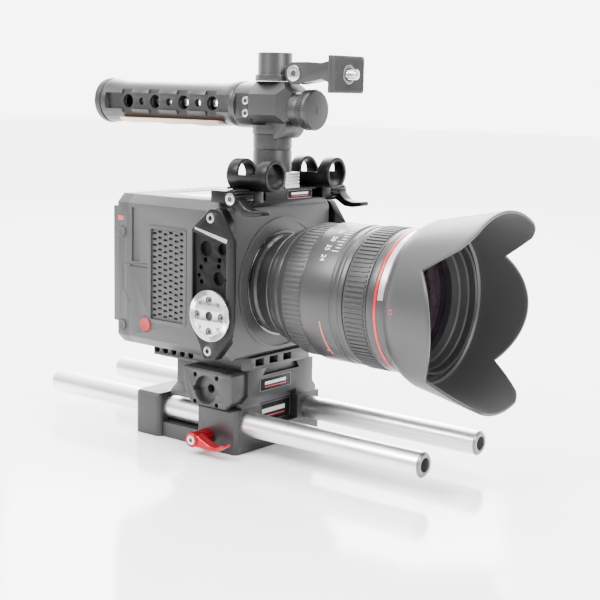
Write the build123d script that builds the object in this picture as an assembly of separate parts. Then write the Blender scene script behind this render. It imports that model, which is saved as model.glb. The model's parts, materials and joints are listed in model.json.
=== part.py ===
from build123d import *
import math
import os

# Cinema camera rig, in millimetres. +X points out of the lens, +Y to the camera's left, +Z up.
# The origin is the mouth of the tripod thread in the underside of the rod baseplate.

# Rods: 15 mm lightweight standard, 60 mm apart, lens axis 85 mm above them.
ROD_R = 7.5
ROD_Y = 30.0
ROD_Z = 18.0
ROD_REAR = -131.0
ROD_FRONT = 173.0
ROD_CHAMFER = 1.4
ROD_END_R = 4.2
ROD_END_DEPTH = 14.0
ROD_MIDDLE_R = 7.3
ROD_MIDDLE_X = (-50.0, 50.0)
LENS_Z = ROD_Z + 85.0
GAP = 0.06

# Baseplate
BASE_FRONT = 44.0
BASE_REAR = -43.5
BASE_HALF = 42.0
BLOCK_TOP = 28.0
FRONT_BLOCK_REAR = 11.0
REAR_BLOCK_FRONT = -21.0
WEB_TOP = 9.5
SPINE_HALF = 20.0
TRIPOD_R = 3.97
TRIPOD_DEPTH = 14.0
QUARTER_R = 2.6
RISER_TOP = 51.0
RISER_REAR = -16.0
RISER_NEAR = -31.0
RISER_FAR = 33.0
DOVETAIL = [(-14.0, RISER_TOP + 0.01), (16.0, RISER_TOP + 0.01), (19.0, 46.5), (-17.0, 46.5)]
BOSS_FACE = -45.0
BOSS_X = 21.6
BOSS_Z = 38.5
BOSS_HOLE_R = 9.0
BOSS_BOLT_R = 1.5
BOSS_BOLT_X = 9.0
BOSS_BOLT_Z = 8.5

# Camera body
BODY_FRONT = 44.0
BODY_REAR = -57.0
BODY_HALF = 49.0
BODY_BOTTOM = 59.0
BODY_TOP = 155.0
BODY_CHAMFER = 5.5
WALL = 3.0
FRONT_SPLIT = 29.6
REAR_SPLIT = -42.0
REC_X = -26.6
REC_Z = 73.8
REC_R = 4.5
SMALL_BUTTON_R = 3.2
POWER_X = -47.2
POWER_Z = 70.9
USER_X = -47.2
USER_Z = 131.1
GRILLE_X = (-22.0, 6.0)
GRILLE_Z = (78.0, 135.0)
BATTERY_Y = 33.0
BATTERY_Z = (82.0, 136.0)
PORTS_X = (-22.0, 14.0)
PORTS_Z = (76.0, 136.0)
DISPLAY_X = (-34.0, 8.0)
DISPLAY_Y = 25.0

# Lens, stations measured along X from the front face of the body
MOUNT_R = 27.0
ADAPTER_FRONT = 20.5
REAR_BARREL_R = 36.5
FOCUS_X = (31.7, 46.2)
FOCUS_R = 40.2
SCALE_X = (46.6, 76.8)
SCALE_R = 41.5
ZOOM_X = (77.2, 93.2)
ZOOM_R = 42.2
TUBE_R = 36.0
SLEEVE_R = TUBE_R - GAP
FRONT_X = (93.6, 106.5)
FRONT_R = 42.0
RED_RING_X = (98.5, 100.8)
GLASS_R = 33.0
HOOD_X = (106.8, 157.0)
HOOD_BAYONET_R = 40.6
HOOD_MOUTH_R = 57.0
HOOD_WALL = 1.8

# Cage plates, one on each side of the body
PLATE_INNER = 49.0
PLATE_OUTER = 56.0
PLATE_POCKET = 1.6
PLATE_EDGE = 1.7
ROSETTE_X = 35.4
ROSETTE_Z = 88.0
ROSETTE_R = 15.6
ROSETTE_FACE = 58.6
ROSETTE_RECESS = 0.6
ROSETTE_HEAD = (0.8, 2.0)
ROSETTE_HOLE_RADIUS = 9.6
M6_R = 2.75
PLATE_SCREW_TOP = (33.8, 146.2)
PLATE_SCREW_BOTTOM = (32.4, 66.0)
SCREW_HEAD_R = 3.2
SCREW_SHANK_R = 1.6

# Top bar, rod clamps and clamping levers
BAR_X = (29.0, 48.0)
BAR_Z = (155.0, 162.0)
BAR_HALF = 50.0
BAR_MIDDLE_REAR = 15.0
LUG_HALF = 37.6
LUG_FRONT = 52.0
CLAMP_Z = 171.0
CLAMP_OUTER_R = 9.8
CLAMP_X = (32.0, 62.0)
CLAMP_RING = 6.5
CLAMP_RELIEF = 0.5
LEVER_X = 47.5
LEVER_Z = 158.2
LEVER_HUB_R = 5.5
LEVER_Y = (38.2, 54.0)
LEVER_SHANK_R = 2.5
BASE_LEVER_X = 21.5
BASE_LEVER_Z = 9.2
BASE_LEVER_HUB_R = 4.7
BASE_LEVER_Y = (42.3, 58.0)

# Handle
HANDLE_Z = 212.3
STEM_X = 34.3
STEM_R = 12.0
STEM_TOP = 195.0
COLLAR_X = (12.0, 25.8)
COLLAR_R = 14.2
COLLAR_Z = 212.0
HEAD_X = (25.8, 47.4, 54.4)
HEAD_Z = 212.6
HEAD_HALF = (14.0, 14.0)
HEAD_CUT = 7.8
BOSS_NOSE_X = 59.5
BOSS_NOSE_R = 10.2
CHIN_X = 44.0
CHIN_Z = 200.2
CHIN_R = 8.0
HEAD_SCREW_X = 23.2
HEAD_SCREW_Z = (207.2, 214.8)
TUBE_INNER_R = 7.0
TUBE_OUTER_R = 12.8
TUBE_REAR = -90.0
FLANGE_X = (-111.0, -104.5)
FLANGE_R = 15.0
POCKET_X = (-101.0, 9.5)
POCKET_HALF = 5.2
NOTCH_X = (-82.8, -57.9, -32.4, -7.4)
NOTCH_HALF = (4.75, 7.9)
NOTCH_HOLE_R = 4.5
SMALL_HOLE_R = 2.4
GRIP_X = (-89.0, -1.0)
GRIP_TOP = HANDLE_Z - 10.6
POST_X = STEM_X + 1.0
POST_R = 10.5
POST_COLLAR_R = 12.0
POST_Z = (226.8, 230.5, 243.8)
KNOB_Z = 210.0
KNOB_R = 12.3
KNOB_X = (60.5, 68.5)
KNOB_SHAFT_R = 4.0
ARM_X = 55.4
ARM_Z = 231.6
ARM_HUB_R = 6.6
ARM_HALF = 7.0
ARM_PIN_R = 2.0
ARM_PIN_HEAD_R = 5.0
PAD_X = (87.5, 92.0)
PAD_Z = (220.4, 242.0)
PAD_HALF = 15.3
PAD_CENTRE_Z = (PAD_Z[0] + PAD_Z[1]) / 2
STUD_R = 3.1
STUD_SHANK_R = 2.9
STUD_REAR = 84.5
STUD_SHOULDER = 92.3
STUD_TIP = 97.5

PARTS = {}


def sub_part(function):
    """Registers a function as the builder of the sub-part that it is named after."""
    PARTS[function.__name__] = function
    return function


def block(x0, x1, y0, y1, z0, z1):
    centre = Pos((x0 + x1) / 2, (y0 + y1) / 2, (z0 + z1) / 2)
    return centre * Box(x1 - x0, y1 - y0, z1 - z0)


def rod_x(radius, x0, x1, y, z):
    return Pos((x0 + x1) / 2, y, z) * Rot(0, 90, 0) * Cylinder(radius, x1 - x0)


def rod_y(radius, y0, y1, x, z):
    return Pos(x, (y0 + y1) / 2, z) * Rot(90, 0, 0) * Cylinder(radius, y1 - y0)


def rod_z(radius, z0, z1, x, y):
    return Pos(x, y, (z0 + z1) / 2) * Cylinder(radius, z1 - z0)


def outline(points):
    return make_face(Polyline(*points, close=True))


def prism_x(points, x0, x1):
    """Extrudes a closed outline of (y, z) points from x0 to x1."""
    return extrude(Plane.YZ.offset(x0) * outline(points), amount=x1 - x0, dir=(1, 0, 0))


def prism_y(points, y0, y1):
    """Extrudes a closed outline of (x, z) points from y0 to y1."""
    return extrude(Plane.XZ.offset(-y0) * outline(points), amount=y1 - y0, dir=(0, 1, 0))


def prism_z(points, z0, z1):
    """Extrudes a closed outline of (x, y) points from z0 to z1."""
    return extrude(Plane.XY.offset(z0) * outline(points), amount=z1 - z0, dir=(0, 0, 1))


def turned(points, z=LENS_Z, y=0.0):
    """Revolves a closed outline of (x, radius) points about an axis along X."""
    face = Plane.XZ.offset(-y) * outline([(x, z + radius) for x, radius in points])
    return revolve(face, axis=Axis((0, y, z), (1, 0, 0)))


def lens(points):
    """Revolves an outline whose stations are measured from the front of the body."""
    return turned([(BODY_FRONT + x, radius) for x, radius in points])


def mirrored(part):
    return mirror(part, about=Plane.XZ)


# Rod baseplate


def lever_stud_hole(radius=LEVER_SHANK_R):
    return rod_y(radius, -BASE_HALF - 1, -38.0, BASE_LEVER_X, BASE_LEVER_Z)


@sub_part
def base_body():
    """Two cross blocks that hold the rods, joined by a web and a central spine."""
    front = block(FRONT_BLOCK_REAR, BASE_FRONT, -BASE_HALF, BASE_HALF, 0, BLOCK_TOP)
    front = chamfer(front.edges().filter_by(Axis.Z), 2.0)
    rear = block(BASE_REAR, REAR_BLOCK_FRONT, -BASE_HALF, BASE_HALF, 0, BLOCK_TOP)
    rear = fillet(rear.edges().filter_by(Axis.Z), 4.0)
    body = chamfer(front.faces().sort_by(Axis.Z)[-1].edges().filter_by(Axis.X), 1.5)
    body += chamfer(rear.faces().sort_by(Axis.Z)[-1].edges().filter_by(Axis.X), 1.5)
    body += block(REAR_BLOCK_FRONT, FRONT_BLOCK_REAR, -39, 39, 0, WEB_TOP)
    body += block(REAR_BLOCK_FRONT, FRONT_BLOCK_REAR, -SPINE_HALF, SPINE_HALF, 0, BLOCK_TOP)
    for side in (-1, 1):
        body -= rod_x(ROD_R + GAP, BASE_REAR - 1, BASE_FRONT + 1, side * ROD_Y, ROD_Z)
    body -= block(38.5, BASE_FRONT + 1, -18, 18, 13, BLOCK_TOP + 1)
    body -= rod_z(TRIPOD_R, -1, TRIPOD_DEPTH, 0, 0)
    for x in (-32.0, 27.0):
        body -= rod_z(QUARTER_R, -1, 11.0, x, 0)
    body -= lever_stud_hole()
    for x, y in base_screw_places():
        body -= rod_z(SCREW_SHANK_R, 20.0, BLOCK_TOP + 1, x, y)
    return body


def base_screw_places():
    return [(x, y) for x in (-10.0, 30.0) for y in (-10.0, 10.0)]


@sub_part
def riser_block():
    """Saddle on top of the baseplate: flared skirt and a dovetail channel for the camera plate."""
    side = [
        (RISER_NEAR, RISER_TOP), (RISER_FAR, RISER_TOP), (RISER_FAR, 35.5), (36.5, 31.5),
        (36.5, BLOCK_TOP), (-36.5, BLOCK_TOP), (-36.5, 31.5), (RISER_NEAR, 35.5),
    ]
    riser = prism_x(side, RISER_REAR, BASE_FRONT)
    riser -= prism_x(DOVETAIL, RISER_REAR - 1, BASE_FRONT + 1)
    riser -= block(40.0, BASE_FRONT + 1, -20, 16, BLOCK_TOP - 1, 32.5)
    riser -= block(RISER_REAR - 1, -8.0, -25, 27, BLOCK_TOP - 1, 34.0)
    for x, y in base_screw_places():
        riser -= rod_z(SCREW_SHANK_R, BLOCK_TOP - 1, 46.0, x, y)
        riser -= rod_z(SCREW_HEAD_R, 42.0, RISER_TOP, x, y)
    return riser


@sub_part
def side_boss():
    """Accessory boss on the right flank of the riser with its ring of threaded holes."""
    points = [
        (2.4, 51), (41.0, 51), (42.6, 49.4), (42.6, 33), (37.6, 28), (9.5, 28), (4.4, 34), (2.4, 40),
    ]
    boss = prism_y(points, BOSS_FACE, RISER_NEAR)
    boss -= prism_x([(-37.5, 27), (-37.5, 31.5), (-30, 37.5), (-30, 27)], 0, BASE_FRONT + 1)
    boss = chamfer(boss.faces().sort_by(Axis.Y)[0].edges(), 0.8)
    boss -= rod_y(BOSS_HOLE_R, BOSS_FACE - 1, BOSS_FACE + 5, BOSS_X, BOSS_Z)
    boss -= rod_y(M6_R, BOSS_FACE, RISER_NEAR + 1, BOSS_X, BOSS_Z)
    for side in (-1, 1):
        x = BOSS_X + side * BOSS_HOLE_R
        boss -= block(x - 1.4, x + 1.4, BOSS_FACE - 1, BOSS_FACE + 5, BOSS_Z - 1.5, BOSS_Z + 1.5)
        for level in (-1, 1):
            place = (BOSS_X + side * BOSS_BOLT_X, BOSS_Z + level * BOSS_BOLT_Z)
            boss -= rod_y(BOSS_BOLT_R, BOSS_FACE - 1, BOSS_FACE + 8, *place)
    return boss


@sub_part
def camera_plate():
    """Plate screwed under the camera; its tongue fills the dovetail channel of the riser."""
    plate = block(-39, BASE_FRONT, -33, 33, RISER_TOP, BODY_BOTTOM)
    plate = chamfer(plate.edges().filter_by(Axis.Z), 4.0)
    plate += prism_x([(y, min(z, RISER_TOP)) for y, z in DOVETAIL], -38.0, BASE_FRONT - 2.0)
    for index in range(5):
        for side in (-1, 1):
            plate -= rod_y(2.2, side * 33.0 - 4, side * 33.0 + 4, -32.0 + index * 7.4, 55.0)
    for y in (-20.5, -7.0, 6.5):
        plate -= block(BASE_FRONT - 6, BASE_FRONT + 1, y - 4, y + 4, 53.2, 57.6)
    for x in (-24.0, 24.0):
        plate -= rod_z(3.25, 40, BODY_BOTTOM + 1, x, 1.0)
        plate -= rod_z(5.5, 40, 50.0, x, 1.0)
    return plate


@sub_part
def base_screws():
    """Four socket screws that hold the riser and two that hold the camera."""
    screws = []
    for x, y in base_screw_places():
        screws.append(rod_z(SCREW_SHANK_R, 20.0, 42.0, x, y) + rod_z(SCREW_HEAD_R, 42.0, 45.4, x, y))
    for x in (-24.0, 24.0):
        screws.append(rod_z(3.25, 50.0, BODY_BOTTOM + WALL, x, 1.0) + rod_z(5.5, 46.7, 50.0, x, 1.0))
    return Compound(children=screws)


def rod(side):
    m0, m1 = ROD_MIDDLE_X
    bar = turned([
        (ROD_REAR, 0.0), (ROD_REAR, ROD_R - ROD_CHAMFER), (ROD_REAR + ROD_CHAMFER, ROD_R), (m0, ROD_R),
        (m0, ROD_MIDDLE_R), (m1, ROD_MIDDLE_R), (m1, ROD_R), (ROD_FRONT - ROD_CHAMFER, ROD_R),
        (ROD_FRONT, ROD_R - ROD_CHAMFER), (ROD_FRONT, 0.0),
    ], ROD_Z, side * ROD_Y)
    bar -= rod_x(ROD_END_R, ROD_FRONT - ROD_END_DEPTH, ROD_FRONT + 1, side * ROD_Y, ROD_Z)
    bar -= rod_x(ROD_END_R, ROD_REAR - 1, ROD_REAR + ROD_END_DEPTH, side * ROD_Y, ROD_Z)
    return bar


@sub_part
def rod_right():
    return rod(-1)


@sub_part
def rod_left():
    return rod(1)


def lever(x, z, hub_r, hub_y, arm, arm_y):
    """Clamping lever on the right side: a hub along Y and a curved arm that reaches forwards."""
    part = rod_y(hub_r, -hub_y[1], -hub_y[0], x, z)
    part += prism_y([(x + dx, z + dz) for dx, dz in arm], arm_y[0], arm_y[1])
    part -= rod_y(LEVER_SHANK_R + GAP, -hub_y[1] - 1, -hub_y[0] + 1, x, z)
    return part


@sub_part
def base_lever():
    arm = [
        (0.0, 4.2), (7.0, 1.6), (14.0, -1.2), (19.0, -1.6), (25.2, 1.2),
        (25.6, -0.6), (19.5, -4.4), (13.0, -4.8), (6.0, -4.2), (0.0, -4.2),
    ]
    return lever(BASE_LEVER_X, BASE_LEVER_Z, BASE_LEVER_HUB_R, BASE_LEVER_Y, arm, (-57.0, -50.0))


TOP_LEVER_ARM = [
    (0.0, 5.0), (6.0, -1.0), (10.0, -4.8), (15.0, -6.2), (23.0, -5.6),
    (23.2, -8.2), (15.5, -9.6), (9.0, -9.2), (3.0, -5.6), (0.0, -5.0),
]


@sub_part
def top_lever_right():
    return lever(LEVER_X, LEVER_Z, LEVER_HUB_R, LEVER_Y, TOP_LEVER_ARM, (-53.0, -45.0))


@sub_part
def top_lever_left():
    return mirrored(top_lever_right())


@sub_part
def lever_screws():
    """Socket screws that the three levers turn on."""
    top = rod_y(LEVER_SHANK_R, -LEVER_Y[1] - 0.1, -22.0, LEVER_X, LEVER_Z)
    top += rod_y(3.6, -LEVER_Y[1] - 2.4, -LEVER_Y[1] - 0.1, LEVER_X, LEVER_Z)
    top -= rod_y(1.7, -LEVER_Y[1] - 3, -LEVER_Y[1] - 1, LEVER_X, LEVER_Z)
    base = rod_y(LEVER_SHANK_R, -BASE_LEVER_Y[1] - 0.1, -38.0, BASE_LEVER_X, BASE_LEVER_Z)
    base += rod_y(3.2, -BASE_LEVER_Y[1] - 2.2, -BASE_LEVER_Y[1] - 0.1, BASE_LEVER_X, BASE_LEVER_Z)
    base -= rod_y(1.5, -BASE_LEVER_Y[1] - 3, -BASE_LEVER_Y[1] - 1, BASE_LEVER_X, BASE_LEVER_Z)
    return Compound(children=[top, mirrored(top), base])


# Camera body


def body_outline(inset=0.0):
    """Cross-section of the body: a square with chamfered corners, as (y, z) points."""
    half = BODY_HALF - inset
    low = BODY_BOTTOM + inset
    high = BODY_TOP - inset
    cut = BODY_CHAMFER - 0.58 * inset
    return [
        (-half + cut, low), (half - cut, low), (half, low + cut), (half, high - cut),
        (half - cut, high), (-half + cut, high), (-half, high - cut), (-half, low + cut),
    ]


def plate_screw_holes():
    holes = []
    for x, z in (PLATE_SCREW_TOP, PLATE_SCREW_BOTTOM):
        for side in (-1, 1):
            holes.append(rod_y(SCREW_SHANK_R, side * 44 - 6, side * 44 + 6, x, z))
    return holes


@sub_part
def camera_shell():
    """Middle casting of the body, open at the front and at the rear."""
    shell = prism_x(body_outline(), REAR_SPLIT, FRONT_SPLIT)
    shell -= prism_x(body_outline(WALL), REAR_SPLIT - 1, FRONT_SPLIT + 1)
    shell -= block(*GRILLE_X, -BODY_HALF - 1, -BODY_HALF + WALL + 1, *GRILLE_Z)
    shell -= block(PORTS_X[0], PORTS_X[1], BODY_HALF - WALL - 1, BODY_HALF + 1, *PORTS_Z)
    shell -= rod_y(REC_R + GAP, -BODY_HALF - 1, -BODY_HALF + WALL + 1, REC_X, REC_Z)
    shell -= block(-39, -32, -BODY_HALF - 1, -BODY_HALF + 1.2, 113, 147)
    shell -= block(-40.5, -24, -BODY_HALF - 1, -BODY_HALF + 0.8, 109.5, 111)
    shell -= block(*DISPLAY_X, -DISPLAY_Y, DISPLAY_Y, BODY_TOP - 1.2, BODY_TOP + 1)
    for x in (-24.0, 24.0):
        shell -= rod_z(3.25, BODY_BOTTOM - 1, BODY_BOTTOM + WALL + 1, x, 1.0)
    for x, y in bar_screw_places():
        shell -= rod_z(SCREW_SHANK_R, BODY_TOP - WALL - 1, BODY_TOP + 1, x, y)
    for hole in plate_screw_holes():
        shell -= hole
    return shell


@sub_part
def front_housing():
    """Front casting with the lens throat and the raised rings around it."""
    front = prism_x(body_outline(), FRONT_SPLIT, BODY_FRONT)
    front = chamfer(front.faces().sort_by(Axis.X)[-1].edges(), 2.5)
    front -= prism_x(body_outline(WALL), FRONT_SPLIT - 1, BODY_FRONT - WALL)
    front += lens([(-4, 30), (-4, 41.5), (0.8, 41.5), (0.8, 39.4), (0.0, 39.4), (0.0, 30)])
    front -= rod_x(33.0, FRONT_SPLIT - 1, BODY_FRONT + 2, 0, LENS_Z)
    for hole in plate_screw_holes():
        front -= hole
    for x, y in bar_screw_places():
        front -= rod_z(SCREW_SHANK_R, BODY_TOP - WALL - 3, BODY_TOP + 1, x, y)
    return front


@sub_part
def rear_housing():
    """Rear casting: a stepped cover with the battery bay."""
    rear = prism_x(body_outline(), -53.0, REAR_SPLIT)
    rear = chamfer(rear.faces().sort_by(Axis.X)[0].edges(), 1.5)
    bulge = block(BODY_REAR, -52.0, -BODY_HALF + 0.6, BODY_HALF - 0.6, 73, 147)
    rear += chamfer(bulge.faces().sort_by(Axis.X)[0].edges(), 1.2)
    rear -= prism_x(body_outline(WALL), -51.5, REAR_SPLIT + 1)
    rear -= block(BODY_REAR - 1, -50.0, -BATTERY_Y - 0.3, BATTERY_Y + 0.3,
                  BATTERY_Z[0] - 0.3, BATTERY_Z[1] + 0.3)
    for x, z in ((POWER_X, POWER_Z), (USER_X, USER_Z)):
        rear -= rod_y(SMALL_BUTTON_R + GAP, -BODY_HALF - 1, -BODY_HALF + WALL + 1, x, z)
    return rear


@sub_part
def battery_pack():
    pack = block(BODY_REAR + 0.4, -26.0, -BATTERY_Y, BATTERY_Y, *BATTERY_Z)
    pack = chamfer(pack.faces().sort_by(Axis.X)[0].edges(), 1.0)
    return pack - block(BODY_REAR, BODY_REAR + 2, -12, 12, 129, 133)


@sub_part
def vent_grille():
    """Side grille of staggered short slots."""
    low_x, high_x = GRILLE_X
    low_z, high_z = GRILLE_Z
    grille = block(low_x, high_x, -BODY_HALF + 1.0, -BODY_HALF + WALL, low_z, high_z)
    pitch_x = (high_x - low_x) / 6
    slots = []
    for column in range(6):
        x = low_x + pitch_x * (column + 0.5)
        for row in range(15):
            z = low_z + 2.4 + row * 3.7 + (1.2 if column % 2 else 0)
            slots.append(block(x - 1.6, x + 1.6, -BODY_HALF, -BODY_HALF + WALL + 1, z - 0.7, z + 0.7))
    return grille - slots


@sub_part
def port_panel():
    """Connector panel on the left side."""
    panel = block(*PORTS_X, BODY_HALF - WALL, BODY_HALF - 0.8, *PORTS_Z)
    for z, radius in ((86.0, 6.5), (103.0, 5.0), (116.0, 4.0), (127.0, 4.0)):
        panel += rod_y(radius, BODY_HALF - 1.5, BODY_HALF - 0.1, -4.0, z)
        panel -= rod_y(radius - 1.4, BODY_HALF - 2.4, BODY_HALF + 1, -4.0, z)
    return panel


@sub_part
def top_display():
    return block(DISPLAY_X[0] + 0.2, DISPLAY_X[1] - 0.2, -DISPLAY_Y + 0.2, DISPLAY_Y - 0.2,
                 BODY_TOP - 1.2, BODY_TOP - 0.1)


@sub_part
def lens_mount_ring():
    """Bayonet ring of the body, with its three lugs facing inwards."""
    ring = lens([(-6, MOUNT_R), (-6, 33), (0.8, 33), (0.8, MOUNT_R)])
    lug = lens([(-4.5, 24.5), (-4.5, MOUNT_R + 0.5), (-2.5, MOUNT_R + 0.5), (-2.5, 24.5)])
    for angle in (0, 120, 240):
        sector = [(0, 0), (40, -22), (40, 22)]
        wedge = prism_x(sector, 30, 60)
        ring += lug & (Pos(0, 0, LENS_Z) * Rot(angle, 0, 0) * wedge)
    return ring


@sub_part
def sensor_module():
    """Image sensor in its carrier."""
    carrier = block(14.0, 22.0, -26, 26, LENS_Z - 22, LENS_Z + 22)
    return carrier + block(22.0, 24.0, -15, 15, LENS_Z - 9, LENS_Z + 9)


@sub_part
def main_board():
    """Processor board behind the sensor, with its heat sink."""
    board = block(6.0, 7.6, -42, 42, 66, 148)
    sink = block(7.6, 9.6, -24, 24, 82, 126)
    fins = [block(9.6, 13.0, 5.8 * i - 24, 5.8 * i - 22.4, 82, 126) for i in range(9)]
    return board + sink + fins


@sub_part
def cooling_fan():
    """Radial fan between the battery bay and the board."""
    housing = rod_x(20, -12, -2, 0, 105) - rod_x(17.5, -13, -1, 0, 105)
    hub = rod_x(6, -12, -2, 0, 105)
    blade = block(-11, -3, -0.6, 0.6, 110, 123)
    for index in range(9):
        turn = Pos(0, 0, 105) * Rot(40 * index, 0, 0) * Pos(0, 0, -105)
        hub += turn * blade
    return housing + hub


def side_button(radius, x, z):
    """Push button in the right wall, kept in place by a collar behind the wall."""
    head = rod_y(radius, -BODY_HALF - 1.0, -BODY_HALF + WALL + 2, x, z)
    head = chamfer(head.faces().sort_by(Axis.Y)[0].edges(), 0.4)
    return head + rod_y(radius + 0.9, -BODY_HALF + WALL + 0.1, -BODY_HALF + WALL + 2, x, z)


@sub_part
def rec_button():
    return side_button(REC_R, REC_X, REC_Z)


@sub_part
def power_button():
    return side_button(SMALL_BUTTON_R, POWER_X, POWER_Z)


@sub_part
def user_button():
    return side_button(SMALL_BUTTON_R, USER_X, USER_Z)


# Lens


@sub_part
def lens_adapter():
    """Flared adapter tube between the body and the lens."""
    return lens([
        (0.8, 24), (0.8, 31.5), (3.5, 31.5), (5, 30.2), (15, 33.6), (18, 34.6),
        (ADAPTER_FRONT, 34.6), (ADAPTER_FRONT, 28), (5, 24),
    ])


@sub_part
def lens_barrel():
    """Fixed barrel: rear ring, scale section and the inner tube that carries the rings."""
    f0, f1 = FOCUS_X
    s0, s1 = SCALE_X
    z1 = ZOOM_X[1]
    return lens([
        (ADAPTER_FRONT, 28), (ADAPTER_FRONT, 35.6), (22, REAR_BARREL_R), (f0 - 0.3, 37.8),
        (f0 - 0.3, 38.0), (f1 + 0.2, 38.0), (s0 - 0.2, SCALE_R - 0.6), (s0 + 0.6, SCALE_R),
        (s0 + 20.8, SCALE_R), (s0 + 21.4, SCALE_R - 0.9), (s0 + 23.6, SCALE_R - 0.9),
        (s0 + 24.2, SCALE_R - 0.1), (s0 + 26.4, SCALE_R - 0.1), (s0 + 27, SCALE_R - 0.7),
        (s1 - 0.6, SCALE_R - 0.7), (s1, 39.6), (z1, 39.6), (z1, TUBE_R), (f0, TUBE_R), (f0, 32), (26, 28),
    ])


def ribbed_ring(x0, x1, inner, root, crest, ribs):
    """Rubber grip with straight ribs, as one extruded outline of alternating radii."""
    points = []
    for index in range(ribs):
        for part, radius in ((0.0, root), (0.18, crest), (0.55, crest), (0.73, root)):
            angle = 2 * math.pi * (index + part) / ribs
            points.append((radius * math.cos(angle), LENS_Z + radius * math.sin(angle)))
    ring = prism_x(points, BODY_FRONT + x0, BODY_FRONT + x1)
    return ring - rod_x(inner, BODY_FRONT + x0 - 1, BODY_FRONT + x1 + 1, 0, LENS_Z)


@sub_part
def focus_ring():
    x0, x1 = FOCUS_X
    return lens([(x0, 38.0 + GAP), (x0, 39.2), (x1, 39.2), (x1, 38.0 + GAP)])


@sub_part
def focus_grip():
    return ribbed_ring(FOCUS_X[0] + 0.6, FOCUS_X[1] - 0.6, 39.2, 39.6, FOCUS_R, 72)


@sub_part
def zoom_ring():
    x0, x1 = ZOOM_X
    return lens([(x0, 39.6 + GAP), (x0, 40.8), (x1, 40.8), (x1, 39.6 + GAP)])


@sub_part
def zoom_grip():
    return ribbed_ring(ZOOM_X[0] + 0.5, ZOOM_X[1] - 0.5, 40.8, 41.4, ZOOM_R, 90)


def lens_switch(z):
    """Slide switch on the left flank of the fixed barrel."""
    y = math.sqrt(SCALE_R**2 - (z - LENS_Z) ** 2)
    return chamfer(block(101.0, 107.0, y + 0.35, y + 2.0, z - 2.6, z + 2.6).edges().filter_by(Axis.Z), 0.6)


@sub_part
def focus_switch():
    return lens_switch(LENS_Z + 7)


@sub_part
def stabiliser_switch():
    return lens_switch(LENS_Z - 7)


@sub_part
def rear_glass():
    """Rear lens group in its cell."""
    return lens([(24, 0), (24, 24), (40, 28), (52, 28), (55, 20), (56, 0)])


@sub_part
def iris_unit():
    """Aperture unit: a ring with its blade stack."""
    return lens([(58, 12), (58, 34), (64, 34), (64, 20), (62, 20), (62, 12)])


@sub_part
def front_barrel():
    """Front group barrel: inner sleeve, stepped nose with a red ring groove, and baffle."""
    x0, x1 = FRONT_X
    r0, r1 = RED_RING_X
    return lens([
        (x0, FRONT_R - 0.5), (x0 + 0.5, FRONT_R), (r0, FRONT_R), (r0, 40.8), (r1, 40.8), (r1, FRONT_R),
        (x1 - 0.6, FRONT_R), (x1, FRONT_R - 0.6), (x1, 40.0), (117, 40.0), (117, 38.2), (112, 38.2),
        (104, GLASS_R), (98, GLASS_R), (62, 34.2), (62, SLEEVE_R), (x0, SLEEVE_R),
    ])


@sub_part
def red_ring():
    r0, r1 = RED_RING_X
    return lens([(r0, 40.8), (r0, FRONT_R + 0.2), (r1, FRONT_R + 0.2), (r1, 40.8)])


@sub_part
def front_glass():
    """Front element: convex towards the subject."""
    back, edge, crown = BODY_FRONT + 96.4, BODY_FRONT + 99.4, BODY_FRONT + 103.4
    sag = crown - edge
    sphere_r = (GLASS_R**2 + sag**2) / (2 * sag)
    half = GLASS_R / 2
    middle = crown - sphere_r + (sphere_r**2 - half**2) ** 0.5
    profile = Polyline([(crown, LENS_Z), (back, LENS_Z), (back, LENS_Z + GLASS_R), (edge, LENS_Z + GLASS_R)])
    profile += ThreePointArc((edge, LENS_Z + GLASS_R), (middle, LENS_Z + half), (crown, LENS_Z))
    return revolve(Plane.XZ * make_face(profile), axis=Axis((0, 0, LENS_Z), (1, 0, 0)))


def hood_cutter():
    """Side view of what the petals leave open, extruded across the hood."""
    notch_x = 132.0
    profile = Line((notch_x, -36), (153.0, -49.5))
    profile += ThreePointArc((153.0, -49.5), (157.5, -54), (158.5, -60))
    profile += Polyline([(158.5, -60), (175, -60), (175, 60), (158.5, 60)])
    profile += ThreePointArc((158.5, 60), (157, 46), (151.5, 39.2))
    profile += Line((151.5, 39.2), (notch_x, 26))
    profile += ThreePointArc((notch_x, 26), (143.4, -5), (notch_x, -36))
    face = Plane.XZ.offset(-80) * Pos(BODY_FRONT, LENS_Z) * make_face(profile)
    return extrude(face, amount=160, dir=(0, -1, 0))


@sub_part
def lens_hood():
    """Petal hood: a flared shell on a bayonet collar, cut to four petals."""
    x0, x1 = HOOD_X
    hood = lens([
        (x0, HOOD_BAYONET_R), (x0, 43.4), (108.4, 45.6), (114.5, 48.6), (x1, HOOD_MOUTH_R),
        (x1, HOOD_MOUTH_R - HOOD_WALL), (117, 47.0), (112.5, 45.0), (112.5, HOOD_BAYONET_R),
    ])
    return hood - hood_cutter()


# Cage plates and rosettes

PLATE_OUTLINE = [
    (32.5, 151.4), (34.6, 151.9), (40.2, 151.9), (42.4, 150.6), (52.8, 136.2), (53.3, 134.6),
    (53.3, 87.0), (52.3, 78.0), (38.2, 61.2), (35.0, 60.2), (30.2, 60.2), (28.0, 61.6), (26.0, 68.5),
    (18.7, 80.0), (18.7, 138.6),
]
POCKET_OUTLINE = [(20.4, 137.0), (20.4, 84.0), (47.0, 84.0), (47.0, 132.2)]
PLATE_HOLES = (
    (29.7, 127.6, 4.6), (42.7, 128.2, 3.4), (29.1, 121.0, 1.6), (40.3, 121.6, 1.6), (25.5, 116.2, 1.5),
    (39.8, 117.8, 1.5), (24.0, 111.2, 1.3), (26.1, 107.4, 1.5), (39.9, 110.4, 4.2), (46.0, 110.2, 1.2),
)


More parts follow.
